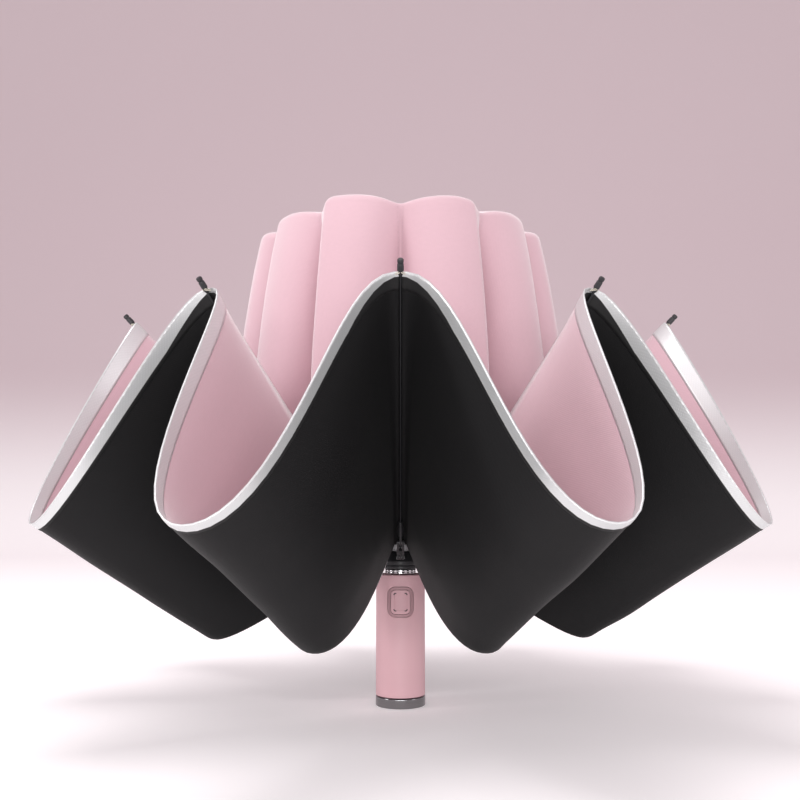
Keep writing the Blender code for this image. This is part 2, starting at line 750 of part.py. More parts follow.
def row_shares():
    """Shares of the rib's line at which the canopy has a row, ending at the hem strip."""
    along = lengths_along(rib_line())
    shoulder, fold = along[1] / along[-1], along[2] / along[-1]
    hem = 1 - (HEM_STRIP_WIDTH + CLEARANCE) / along[-1]
    column = [shoulder + share * (fold - shoulder) for share in COLUMN_ROW_SHARES]
    skirt = [fold + share * (hem - fold) for share in SKIRT_ROW_SHARES]
    return [0, shoulder, *column, fold, *skirt, hem]


def canopy(look):
    placed("canopy", cloth_mesh("Canopy", row_shares()), look)


def hem_strip(look):
    start = 1 - HEM_STRIP_WIDTH / lengths_along(rib_line())[-1]
    placed("hem_strip", cloth_mesh("Hem strip", [start, 1]), look)


# Ribs


def moving_ribs(look):
    """The ten sets of stretcher, middle rib, elbow and outer rib."""
    stretcher = stretcher_mesh()
    middle = hinged_link("Middle rib", MIDDLE_RIB_LENGTH, LINK_WIDTH)
    elbow = hinged_link("Elbow", ELBOW_LENGTH, FORK_WIDTH)
    outer = smooth(outer_rib_mesh())
    for index in range(RIB_COUNT):
        number = f"{index + 1:02d}"
        on_rib(f"stretcher_{number}", stretcher, look, RUNNER, STRETCHER_ANGLE, index, None)
        on_rib(f"middle_rib_{number}", middle, look, UPPER_ELBOW, MIDDLE_RIB_ANGLE, index, None)
        on_rib(f"elbow_{number}", elbow, look, LOWER_ELBOW, OUTER_RIB_ANGLE, index, None)
        on_rib(f"outer_rib_{number}", outer, look, OUTER_PIVOT, OUTER_RIB_ANGLE, index, None)


def main():
    for old in list(bpy.data.objects):
        bpy.data.objects.remove(old)
    grip_pink = material("Grip pink", PINK_GRIP, 0.45, 0)
    cloth_pink = material("Cloth pink", PINK_CLOTH, 0.8, 0)
    chrome = material("Chrome", CHROME, 0.12, 1)
    steel = material("Steel", STEEL, 0.35, 1)
    dark = material("Dark plastic", DARK_PLASTIC, 0.5, 0)
    silver = material("Silver tape", SILVER_TAPE, 0.4, 0)
    end_cap(chrome)
    handle_grip(grip_pink)
    button_bezel(grip_pink)
    release_button(grip_pink)
    grip_ring(chrome)
    handle_collar(dark)
    shaft_tube("lower_tube", LOWER_TUBE_RADIUS, LOWER_TUBE_FOOT, LOWER_TUBE_TOP, steel)
    shaft_tube("middle_tube", MIDDLE_TUBE_RADIUS, MIDDLE_TUBE_FOOT, MIDDLE_TUBE_TOP, steel)
    shaft_tube("upper_tube", UPPER_TUBE_RADIUS, UPPER_TUBE_FOOT, CROWN_TOP, steel)
    crown(steel)
    top_cap(dark)
    runner(dark)
    moving_ribs(steel)
    canopy(cloth_pink)
    hem_strip(silver)


main()
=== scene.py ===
"""Dresses the ten-rib inverted umbrella: cloth, handle, shaft, ribs, their finishes and the studio.

Lengths are in metres. +Z is up, the origin is the centre of the handle's foot and the button faces -Y.
A rib's own frame has X along the rib, Z towards the cloth and Y across it.
"""

import json
import math

import bpy
import numpy as np
from mathutils import Matrix, Vector

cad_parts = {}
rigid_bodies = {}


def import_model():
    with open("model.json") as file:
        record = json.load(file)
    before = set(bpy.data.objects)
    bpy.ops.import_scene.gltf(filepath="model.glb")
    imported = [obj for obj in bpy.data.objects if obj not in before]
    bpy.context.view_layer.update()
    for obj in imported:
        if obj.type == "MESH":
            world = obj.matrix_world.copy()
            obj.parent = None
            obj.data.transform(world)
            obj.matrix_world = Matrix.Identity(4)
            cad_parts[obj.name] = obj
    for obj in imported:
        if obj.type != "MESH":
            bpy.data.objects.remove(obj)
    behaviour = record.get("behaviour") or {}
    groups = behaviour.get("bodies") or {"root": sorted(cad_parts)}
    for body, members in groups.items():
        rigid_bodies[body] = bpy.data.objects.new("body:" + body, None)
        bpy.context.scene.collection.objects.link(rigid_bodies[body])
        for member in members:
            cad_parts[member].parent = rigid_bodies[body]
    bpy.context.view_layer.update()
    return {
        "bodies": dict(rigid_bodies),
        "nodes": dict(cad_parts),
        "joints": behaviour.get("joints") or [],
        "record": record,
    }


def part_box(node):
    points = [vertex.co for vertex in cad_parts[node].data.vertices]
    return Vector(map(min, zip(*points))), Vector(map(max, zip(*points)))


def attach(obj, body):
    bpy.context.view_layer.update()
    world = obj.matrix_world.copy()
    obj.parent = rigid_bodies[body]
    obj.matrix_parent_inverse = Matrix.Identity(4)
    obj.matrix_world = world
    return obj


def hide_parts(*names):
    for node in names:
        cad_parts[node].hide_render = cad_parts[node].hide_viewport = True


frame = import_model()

bl_info = {
    "name": "Inverted umbrella",
    "version": (1, 0, 0),
    "blender": (4, 5, 0),
    "location": "3D View > Sidebar > Umbrella",
    "description": "Builds the pieces, finishes and studio of a reverse-folding umbrella",
    "category": "Object",
}

JOINTS = {joint["name"]: joint for joint in frame["joints"]}
NUMBERS = sorted(name[-2:] for name in JOINTS if name.startswith("elbow_hinge_"))
RIB_COUNT = len(NUMBERS)
FRONT_AZIMUTH = math.radians(-90)
GORE_HALF_ANGLE = math.pi / RIB_COUNT


def pivot_of(joint):
    """The (radius, height) of a hinge of the first rib."""
    x, y, z = JOINTS[joint]["pos_m"]
    return np.array((math.hypot(x, y), z))


def angle_between(start, end):
    """The slope of the way from one (radius, height) to another."""
    return math.atan2(end[1] - start[1], end[0] - start[0])


RUNNER_PIVOT = pivot_of("stretcher_hinge_01")
UPPER_ELBOW = pivot_of("middle_rib_hinge_01")
LOWER_ELBOW = pivot_of("elbow_hinge_01")
OUTER_PIVOT = pivot_of("rim_fold_01")
MIDDLE_RIB_LENGTH = float(np.linalg.norm(LOWER_ELBOW - UPPER_ELBOW))
ELBOW_LENGTH = float(np.linalg.norm(OUTER_PIVOT - LOWER_ELBOW))
MIDDLE_RIB_ANGLE = angle_between(UPPER_ELBOW, LOWER_ELBOW)
OUTER_RIB_ANGLE = angle_between(LOWER_ELBOW, OUTER_PIVOT)
RUNNER_TRAVEL = JOINTS["runner_slide"]["range_m"][1]
RIM_FOLD = math.radians(-JOINTS["rim_fold_01"]["range_deg"][0])
OUTER_RIB_LENGTH = 0.2095
# How far down a middle rib its stretcher is riveted to it
STRETCHER_RIVET = 0.060
# How far each hinge has turned when the runner is at the top
FULL_TURN = {
    each["joint"]: each["ratio"] * RUNNER_TRAVEL
    for each in frame["record"]["behaviour"]["couplings"]
    if each["follows"] == "runner_slide"
}


def foot_of(node):
    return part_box(node)[0].z


def top_of(node):
    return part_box(node)[1].z


def reach_of(node):
    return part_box(node)[1].x


# Sizes and colours


def length(name, description, default):
    return bpy.props.FloatProperty(
        name=name,
        description=description,
        default=default,
        min=0.0,
        max=1.0,
        precision=5,
        subtype="DISTANCE",
        unit="LENGTH",
    )


def colour(name, description, default):
    return bpy.props.FloatVectorProperty(
        name=name, description=description, default=default, min=0, max=1, size=3, subtype="COLOR"
    )


class UmbrellaClothSizes(bpy.types.PropertyGroup):
    standoff: length("Cloth off the ribs", "From the middle of a rib to the cloth over it", 0.0029)
    tip_standoff: length("Cloth off the tips", "From the outer rib's tip to the hem over it", 0.0016)
    crown_angle: bpy.props.FloatProperty(
        name="Top rib slope",
        description="How the short top ribs lean",
        default=math.radians(-15),
        subtype="ANGLE",
    )
    top_rib: length("Top rib", "From the crown to the upper elbows", 0.0757)
    outer_rib: length("Outer rib", "From its pivot to the end of its tip cap", OUTER_RIB_LENGTH)
    hem_setback: length("Hem setback", "From the end of the tip cap back to the hem", 0.008)
    thickness: length("Cloth thickness", "Thickness of the woven cloth", 0.00035)
    crease: length("Crease at a rib", "Half width of the flat strip over a column rib", 0.0004)
    crease_at_rod: length("Crease at a rod", "Half width of the flat strip over an outer rib", 0.0032)
    shoulder_radius: length("Shoulder radius", "How far out a lobe of the column is at its top", 0.0985)
    shoulder_rise: length("Shoulder rise", "How far a lobe's top is above the upper elbows", 0.0085)
    trough_radius: length("Trough radius", "How far out a lobe's lowest line is", 0.147)
    trough_drop: length("Trough drop", "How far a lobe hangs below the lower elbows", 0.046)
    hem_radius: length("Hem radius", "How far out the hem is between two ribs", 0.264)
    hem_rise: length("Hem rise", "How far the hem between two ribs is above the lower elbows", 0.024)
    tape_width: length("Tape width", "Width of the reflective tape on the hem", 0.0115)
    tape_thickness: length("Tape thickness", "Thickness of the hem with its tape folded over", 0.0008)


class UmbrellaHandleSizes(bpy.types.PropertyGroup):
    grip_wall: length("Grip wall", "Thickness of the grip's shell", 0.0015)
    grip_edge: length("Grip edge", "Rounding of the grip's two ends", 0.0008)
    button_width: length("Button width", "Width of the release button", 0.0130)
    button_height: length("Button height", "Height of the release button", 0.0158)
    button_corner: length("Button corner", "Corner radius of the release button", 0.0030)
    button_proud: length("Button proud", "How far the button stands out of the grip", 0.0005)
    bezel_frame: length("Bezel width", "Width of the frame round the button", 0.0020)
    bezel_proud: length("Bezel proud", "How far the frame stands out of the grip", 0.0003)
    bezel_depth: length("Bezel depth", "How thick the frame is", 0.0035)
    gap: length("Gap", "Gap between pieces that fit together", 0.0003)


class UmbrellaRibSizes(bpy.types.PropertyGroup):
    height: length("Rib height", "Height of a rib's section", 0.0032)
    width: length("Rib width", "Width of a rib's section", 0.0024)
    fork_width: length("Fork width", "Width over the two cheeks of a fork", 0.0048)
    tongue_width: length("Tongue width", "Thickness of the tongue in a fork", 0.0014)
    tongue_length: length("Tongue length", "From the pin to the end of the tongue", 0.0072)
    fork_length: length("Fork length", "From the pin back to the end of the fork", 0.0095)
    slot_length: length("Slot length", "From the pin back to the end of the slot", 0.0070)
    stretcher_height: length("Stretcher height", "Height of a stretcher's section", 0.0026)
    stretcher_length: length("Stretcher", "From the runner's pin to the rivet on the rib", 0.140)
    stretcher_slot: length("Stretcher slot", "Length of the fork that straddles the rib", 0.019)
    ferrule_radius: length("Ferrule radius", "Radius of the sleeve on an outer rib", 0.0020)
    ferrule_length: length("Ferrule", "Length of the sleeve on an outer rib", 0.012)
    rod_radius: length("Rod radius", "Radius of an outer rib's wire", 0.0008)
    cap_radius: length("Tip cap radius", "Radius of the cap on an outer rib", 0.0018)
    cap_length: length("Tip cap", "Length of the cap on an outer rib", 0.0072)
    cap_foot: length("Tip cap foot", "How far the cap's thinner foot reaches under the hem", 0.0026)


class UmbrellaColours(bpy.types.PropertyGroup):
    cloth: colour("Cloth", "The coloured face of the cloth", (0.64, 0.425, 0.475))
    lining: colour("Lining", "The dark face of the cloth", (0.0065, 0.0065, 0.007))
    tape: colour("Tape", "The reflective tape", (0.74, 0.76, 0.76))
    grip: colour("Grip", "The soft-touch grip", (0.76, 0.46, 0.50))
    chrome: colour("Chrome", "The polished metal", (0.82, 0.82, 0.83))
    steel: colour("Steel", "The shaft and the sheet-metal ribs", (0.42, 0.43, 0.44))
    plastic: colour("Plastic", "The dark moulded parts", (0.018, 0.018, 0.020))
    wire: colour("Wire", "The coated wire of the outer ribs", (0.055, 0.057, 0.060))
    thread: colour("Thread", "The sewing thread at the tips", (0.80, 0.74, 0.62))
    floor: colour("Floor", "The floor", (0.90, 0.84, 0.86))
    wall: colour("Backdrop", "The backdrop, up from the floor", (0.76, 0.61, 0.65))


# Modelling by hand


def deselect():
    if bpy.context.mode != "OBJECT":
        bpy.ops.object.mode_set(mode="OBJECT")
    bpy.ops.object.select_all(action="DESELECT")


def select_only(*pieces):
    deselect()
    for piece in pieces:
        piece.select_set(True)
    bpy.context.view_layer.objects.active = pieces[0]


def edit(piece, action="SELECT"):
    select_only(piece)
    bpy.ops.object.mode_set(mode="EDIT")
    bpy.ops.mesh.select_mode(type="VERT")
    bpy.ops.mesh.select_all(action=action)


def seated(piece, angle=35):
    """Puts the object's place in its mesh, closes its seams and smooths it."""
    select_only(piece)
    bpy.ops.object.transform_apply(location=True, rotation=True, scale=True)
    edit(piece)
    bpy.ops.mesh.remove_doubles(threshold=1e-6)
    bpy.ops.mesh.normals_make_consistent(inside=False)
    bpy.ops.object.mode_set(mode="OBJECT")
    bpy.ops.object.shade_smooth_by_angle(angle=math.radians(angle))
    return piece


def applied(piece, kind, **settings):
    """A modifier, set and applied."""
    select_only(piece)
    modifier = piece.modifiers.new(kind, kind)
    for name, value in settings.items():
        setattr(modifier, name, value)
    bpy.ops.object.modifier_apply(modifier=modifier.name)
    return piece


EDGE_ANGLE = math.radians(40)


def edged(piece, width, segments=2):
    """Rounds the piece's sharp edges."""
    sharp = {"limit_method": "ANGLE", "angle_limit": EDGE_ANGLE}
    return applied(piece, "BEVEL", width=width, segments=segments, **sharp)


def cut(piece, operation, tool):
    """Cuts, keeps or adds the tool's solid, then removes the tool."""
    applied(piece, "BOOLEAN", operation=operation, solver="EXACT", object=tool)
    bpy.data.objects.remove(tool)
    return piece


def joined(name, *parts):
    """Several parts as one piece, each with its own material."""
    select_only(*parts)
    if len(parts) > 1:
        bpy.ops.object.join()
    made = bpy.context.object
    made.name = made.data.name = name
    return made


def finished(piece, finish):
    """The piece with one finish all over."""
    piece.data.materials.clear()
    piece.data.materials.append(material(finish))
    return piece


def stand_in(piece, node, body):
    """Puts the piece in a CAD node's place: it rides on a body, and the node is hidden."""
    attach(piece, body)
    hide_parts(node)


def softened(profile, edge, steps=4):
    """The profile with each of its inner corners turned round over this length."""
    points = [np.array(point, float) for point in profile]
    made = [points[0]]
    for before, corner, after in zip(points, points[1:], points[2:]):
        arms = []
        for end in (before, after):
            arm = end - corner
            reach = float(np.linalg.norm(arm))
            arms.append(corner + arm / reach * min(edge, 0.45 * reach))
        for step in range(steps + 1):
            t = step / steps
            made.append((1 - t) ** 2 * arms[0] + 2 * t * (1 - t) * corner + t**2 * arms[1])
    return [*made, points[-1]]


def turned(name, profile, sides=96, solid=False):
    """A circle drawn at the first (radius, height) and extruded from point to point, filled for a solid."""
    deselect()
    radius, height = profile[0]
    bpy.ops.mesh.primitive_circle_add(
        vertices=sides, radius=radius, fill_type="NGON" if solid else "NOTHING", location=(0, 0, height)
    )
    made = bpy.context.object
    made.name = made.data.name = name
    bpy.ops.object.mode_set(mode="EDIT")
    bpy.ops.mesh.select_all(action="SELECT")
    for (r0, z0), (r1, z1) in zip(profile, profile[1:]):
        bpy.ops.mesh.extrude_region_move(TRANSFORM_OT_translate={"value": (0, 0, z1 - z0)})
        bpy.ops.transform.resize(value=(r1 / r0, r1 / r0, 1), center_override=(0, 0, z1))
    bpy.ops.object.mode_set(mode="OBJECT")
    return seated(made)


def block(name, low, high):
    """A cube between two corners."""
    deselect()
    low, high = Vector(low), Vector(high)
    bpy.ops.mesh.primitive_cube_add(size=1, location=(low + high) / 2, scale=high - low)
    made = bpy.context.object
    made.name = made.data.name = name
    bpy.ops.object.transform_apply(location=True, rotation=True, scale=True)
    return made


def close(one, other):
    return abs(one - other) < 1e-6


def select_edges(piece, wanted):
    """In edit mode, selects the edges of which the two ends answer."""
    edit(piece, "DESELECT")
    bpy.ops.mesh.select_mode(type="EDGE")
    bpy.ops.object.mode_set(mode="OBJECT")
    points = piece.data.vertices
    for edge in piece.data.edges:
        edge.select = wanted(*(points[index].co for index in edge.vertices))
    bpy.ops.object.mode_set(mode="EDIT")


def select_faces(piece, wanted):
    edit(piece, "DESELECT")
    bpy.ops.mesh.select_mode(type="FACE")
    bpy.ops.object.mode_set(mode="OBJECT")
    for face in piece.data.polygons:
        face.select = wanted(face.center, face.normal)
    bpy.ops.object.mode_set(mode="EDIT")


def round_eye(piece, x, radius):
    """Turns the end of a bar into half a round about a pin across it."""
    select_edges(piece, lambda a, b: close(a.x, x) and close(b.x, x) and close(a.z, b.z))
    bpy.ops.mesh.bevel(offset=radius * 0.98, segments=6, affect="EDGES")
    bpy.ops.object.mode_set(mode="OBJECT")
    return piece


def outline(radius, start, shape):
    """Points of a profile by their share of a radius and their way along from a start."""
    return [(radius * share, start + way) for share, way in shape]


RIVET_DOME = 0.0004
# From the dome's flat top to the shank: shares of the rivet's radius, and how far out of the rib's side
RIVET_HEAD = ((0.35, RIVET_DOME), (0.8, RIVET_DOME * 0.75), (1, 0), (0.7, -RIVET_DOME))


def rivet(x, reach, radius):
    """A domed rivet across a rib, standing a little out of both sides."""
    head = outline(radius, reach, RIVET_HEAD)
    profile = [*((r, -way) for r, way in head), *reversed(head)]
    made = turned("Rivet", profile, 16, solid=True)
    made.data.transform(Matrix.Translation((x, 0, 0)) @ Matrix.Rotation(math.pi / 2, 4, "X"))
    return finished(made, "rib")


def on_rib(piece, pivot, angle, index, name, node):
    """A copy of a piece of the rib frame, on its pivot in the plane of one rib and riding on its body."""
    made = piece.copy()
    made.data = piece.data.copy()
    made.name = made.data.name = f"{name}_{NUMBERS[index]}"
    bpy.context.scene.collection.objects.link(made)
    turn = Matrix.Rotation(FRONT_AZIMUTH + 2 * math.pi * index / RIB_COUNT, 4, "Z")
    lean = Matrix.Rotation(-angle, 4, "Y")
    made.data.transform(turn @ Matrix.Translation((pivot[0], 0, pivot[1])) @ lean)
    body = f"{node}_{NUMBERS[index]}"
    stand_in(made, body, body)
    return made


# Faces of a rib's parts that meet at less than this many degrees are shaded as one
RIB_SMOOTHING = 40


def on_all_ribs(piece, pivot, angle, name, node):
    """The piece of the rib frame, finished off and copied to each rib."""
    seated(piece, RIB_SMOOTHING)
    for index in range(RIB_COUNT):
        on_rib(piece, pivot, angle, index, name, node)
    bpy.data.objects.remove(piece)


# Materials as expressions


class Level:
    """A socket that Python's operators work on."""

    def __init__(self, paint, socket):
        self.paint = paint
        self.socket = socket

    def math(self, operation, *others):
        return self.paint.node("Math", dict(enumerate((self, *others))), operation=operation)

    def __add__(self, other):
        return self.math("ADD", other)

    def __radd__(self, other):
        return self.math("ADD", other)

    def __sub__(self, other):
        return self.math("SUBTRACT", other)

    def __rsub__(self, other):
        return self.paint.node("Math", {0: other, 1: self}, operation="SUBTRACT")

    def __mul__(self, other):
        return self.math("MULTIPLY", other)

    def __rmul__(self, other):
        return self.math("MULTIPLY", other)

    def __truediv__(self, other):
        return self.math("DIVIDE", other)

    def __gt__(self, other):
        return self.math("GREATER_THAN", other)

    def __abs__(self):
        return self.math("ABSOLUTE")

    def wave(self):
        """Its sine, as a share from 0 to 1."""
        return self.math("SINE") * 0.5 + 0.5

    def clamped(self):
        """Cut off below 0 and above 1."""
        return self.paint.node("Clamp", {0: self})

    def fading(self, start, end):
        """1 at start, falling smoothly to 0 at end."""
        sockets = {0: self, 1: start, 2: end, 3: 1.0, 4: 0.0}
        return self.paint.node("MapRange", sockets, interpolation_type="SMOOTHSTEP")


class Paint:
    """One material: its nodes and its Principled shader."""

    def __init__(self, name, colour, roughness, metallic=0.0, **constants):
        self.material = bpy.data.materials.new(name)
        self.material.use_nodes = True
        self.tree = self.material.node_tree
        self.shader = self.tree.nodes["Principled BSDF"]
        self.set("Base Color", (*colour, 1))
        self.set("Roughness", roughness)
        self.set("Metallic", metallic)
        for socket, value in constants.items():
            self.set(socket.replace("_", " "), value)

    def set(self, socket, value):
        self.fill(self.shader.inputs[socket], value)

    def fill(self, socket, value):
        if isinstance(value, Level):
            self.tree.links.new(value.socket, socket)
        else:
            socket.default_value = value

    def node(self, kind, sockets=None, output=0, **settings):
        """A node by its type, its settings and the values or links of its sockets."""
        made = self.tree.nodes.new("ShaderNode" + kind)
        for name, value in settings.items():
            setattr(made, name, value)
        for name, value in (sockets or {}).items():
            self.fill(made.inputs[name], value)
        return Level(self, made.outputs[output])

    def place(self):
        """Object coordinates."""
        return self.node("TexCoord", output=3)

    def stretched(self, scale):
        return self.node("Mapping", {"Vector": self.place(), "Scale": scale})

    def noise(self, scale, detail=3.0, place=None):
        return self.node("TexNoise", {"Vector": place or self.place(), "Scale": scale, "Detail": detail})

    def stored(self, name):
        """A number that the piece's points carry."""
        return self.node("Attribute", output=2, attribute_name=name)

    def mix(self, factor, first, second):
        """From the first colour to the second."""
        colours = [shade if isinstance(shade, Level) else (*shade, 1) for shade in (first, second)]
        return self.node("Mix", {0: factor, 6: colours[0], 7: colours[1]}, output=2, data_type="RGBA")

    def bump(self, height, distance, strength=1.0):
        sockets = {"Height": height, "Distance": distance, "Strength": strength}
        self.set("Normal", self.node("Bump", sockets))


def shaded(colour, share):
    """The colour made lighter or darker."""
    return tuple(min(1.0, max(0.0, channel * share)) for channel in colour)


def parts_of(paint, vector):
    """The three numbers of a vector."""
    made = paint.tree.nodes.new("ShaderNodeSeparateXYZ")
    paint.tree.links.new(vector.socket, made.inputs[0])
    return [Level(paint, output) for output in made.outputs]


def seen_rays(tree):
    """1 where the camera looks, straight on or in metal and glass, and 0 for light that falls on a piece."""
    rays = tree.nodes.new("ShaderNodeLightPath")
    total = rays.outputs["Is Camera Ray"]
    for kind in ("Is Glossy Ray", "Is Transmission Ray"):
        either = tree.nodes.new("ShaderNodeMath")
        either.use_clamp = True
        tree.links.new(total, either.inputs[0])
        tree.links.new(rays.outputs[kind], either.inputs[1])
        total = either.outputs[0]
    return total


def waves_of(pitch):
    """How far a sine turns in a metre when one wave is this long."""
    return 2 * math.pi / pitch


# The cloth's threads, and the seam over each rib: its folded band, its stitches' line and their pitch
THREAD_PITCH = 0.0007
SEAM_BAND = (0.0030, 0.0036)
SEAM_STITCH_LINE = 0.0022
SEAM_STITCH_PITCH = 0.0032


def woven(name, colour, roughness, sheen, seam_shade, depth):
    """Fine plain weave with a stitched seam along each rib, laid out on the cloth's own flat pattern."""
    paint = Paint(name, colour, roughness, Sheen_Weight=sheen, Sheen_Roughness=0.4, Specular_IOR_Level=0.25)
    flat = paint.node("UVMap", uv_map="flat")
    across, along, _ = parts_of(paint, flat)
    seam = abs(paint.stored("seam"))
    thread = waves_of(THREAD_PITCH)
    weave = (across * thread).wave() * (along * thread).wave()
    band = seam.fading(*SEAM_BAND)
    stitch_line = abs(seam - SEAM_STITCH_LINE).fading(0.00015, 0.0004)
    dashes = (along * waves_of(SEAM_STITCH_PITCH)).wave() > 0.35
    stitches = stitch_line * dashes
    drift = paint.noise(7.0, 3.0)
    grain = paint.noise(420.0, 2.0, flat)
    tone = paint.mix(drift, shaded(colour, 0.94), shaded(colour, 1.06))
    tone = paint.mix(grain * 0.16, tone, shaded(colour, 0.7))
    tone = paint.mix(band * 0.12, tone, shaded(colour, seam_shade))
    tone = paint.mix(stitches * 0.3, tone, shaded(colour, seam_shade * 0.8))
    paint.set("Base Color", tone)
    paint.set("Roughness", paint.noise(30.0, 2.0) * 0.1 + (roughness - 0.05))
    paint.bump(weave * 0.4 + grain * 0.3 + band * 0.4 + stitches * 0.8, depth)
    return paint.material


# The tape's diamonds of beads and its stitched edge. On the lining's side only a strip of it shows beside a
# rib, and this strip widens by TAPE_SPREAD over the first TAPE_RUN of cloth from the rib
DIAMOND_PITCH = 0.0016
HEM_STITCH_LINE = 0.0012
HEM_STITCH_PITCH = 0.003
TAPE_AT_RIB = 0.0028
TAPE_SPREAD = 0.006
TAPE_RUN = 0.040
TAPE_SHINE = 0.55
STITCH_GREY = (0.35, 0.36, 0.36)


def reflective(name, colour, lining=None):
    """Tape of glass beads in fine diamonds, with a stitched edge. A lining covers it beside each rib."""
    paint = Paint(name, colour, 0.4, TAPE_SHINE)
    flat = paint.node("UVMap", uv_map="flat")
    across, along, _ = parts_of(paint, flat)
    pitch = waves_of(DIAMOND_PITCH)
    lattice = ((across + along) * pitch).wave() * ((across - along) * pitch).wave()
    beads = paint.noise(1800.0, 1.0, flat)
    seam, edge = paint.stored("seam"), paint.stored("edge")
    dashes = (across * waves_of(HEM_STITCH_PITCH)).wave() > 0.3
    stitches = abs(edge - HEM_STITCH_LINE).fading(0.0002, 0.0005) * dashes
    wear = paint.noise(45.0, 4.0)
    tone = paint.mix(lattice * 0.25, colour, shaded(colour, 1.25))
    tone = paint.mix(beads * 0.2, tone, shaded(colour, 0.8))
    tone = paint.mix(stitches * 0.25, tone, STITCH_GREY)
    roughness = 0.3 + wear * 0.2
    if lining:
        shown = (seam / TAPE_RUN).clamped() * TAPE_SPREAD + TAPE_AT_RIB
        covered = ((edge - shown) / 0.0003).clamped()
        tone = paint.mix(covered, tone, lining)
        roughness = roughness + covered * 0.3
        paint.set("Metallic", TAPE_SHINE * (1 - covered))
    paint.set("Base Color", tone)
    paint.set("Roughness", roughness)
    paint.bump(lattice * 0.5 + beads * 0.4 + stitches * 1.0, 0.00006)
    return paint.material


def soft_touch(name, colour):
    """Rubber-coated plastic with a fine grain and slightly worn, paler patches."""
    paint = Paint(name, colour, 0.5, 0.0, Specular_IOR_Level=0.4, Coat_Roughness=0.5)
    grain = paint.noise(2600.0, 2.0)
    cloudy = paint.noise(38.0, 3.0)
    tone = paint.mix(cloudy, shaded(colour, 0.97), shaded(colour, 1.03))
    paint.set("Base Color", paint.mix(grain * 0.1, tone, shaded(colour, 0.85)))
    paint.set("Roughness", cloudy * 0.14 + 0.42)
    paint.bump(grain + cloudy * 0.3, 0.00004)
    return paint.material


def metal(name, colour, roughness, brushing, scratch):
    """Metal drawn or polished along one axis, with hairlines and a faint film of fingerprints."""
    paint = Paint(name, colour, roughness, 1.0)
    lines = paint.noise(900.0, 2.0, paint.stretched(brushing))
    film = paint.noise(60.0, 4.0)
    paint.set("Base Color", paint.mix(film * 0.5, colour, shaded(colour, 0.88)))
    paint.set("Roughness", lines * scratch + film * 0.08 + (roughness - 0.04))
    paint.bump(lines, 0.00002, 0.6)
    return paint.material


def moulded(name, colour):
    """Dark moulded plastic with an eroded grain and rubbed, shinier high spots."""
    paint = Paint(name, colour, 0.42, 0.0, Specular_IOR_Level=0.45)
    grain = paint.node("TexVoronoi", {"Vector": paint.place(), "Scale": 1500.0})
    rubbed = paint.noise(120.0, 3.0)
    paint.set("Base Color", paint.mix(rubbed * 0.6, colour, shaded(colour, 1.8)))
    paint.set("Roughness", rubbed * 0.2 + (0.42 - 0.1))
    paint.bump(grain + rubbed * 0.5, 0.00004)
    return paint.material


TWIST_PITCH = 0.0006


def sewing_thread(colour):
    """Twisted thread, darker in the grooves of its twist and paler on its ridges: painted shade and painted
    light, over a bump along the same twist.
    """
    paint = Paint("Sewing thread", colour, 0.7, 0.0, Sheen_Weight=0.2)
    x, y, z = parts_of(paint, paint.place())
    twist_with_painted_shade = ((x + y + z) * waves_of(TWIST_PITCH)).wave()
    # The colour follows the twist: painted shade in its grooves and painted light on its ridges
    paint.set("Base Color", paint.mix(twist_with_painted_shade, shaded(colour, 0.75), shaded(colour, 1.1)))
    paint.set("Roughness", paint.noise(200.0) * 0.2 + 0.6)
    paint.bump(twist_with_painted_shade, 0.0001)
    return paint.material


# The height at which the backdrop has its full colour
BACKDROP_FADE = 0.9


def pale_ground(colour, wall):
    """Smooth pale paper, deeper in tone up the backdrop and bright to the camera on the floor."""
    paint = Paint("Pale ground", colour, 0.75, 0.0, Specular_IOR_Level=0.2, Emission_Strength=0.32)
    drift = paint.noise(1.2, 2.0)
    fibres = paint.noise(160.0, 3.0)
    height = parts_of(paint, paint.place())[2]
    tone = paint.mix(height.fading(BACKDROP_FADE, 0.0), shaded(colour, 0.985), wall)
    paint.set("Base Color", paint.mix(drift * 0.03, tone, colour))
    paint.set("Roughness", fibres * 0.1 + 0.7)
    seen = Level(paint, seen_rays(paint.tree)) * height.fading(0.0, BACKDROP_FADE)
    paint.set("Emission Color", paint.mix(seen, (0, 0, 0), colour))
    paint.bump(fibres, 0.00005)
    return paint.material


MATERIALS = {}


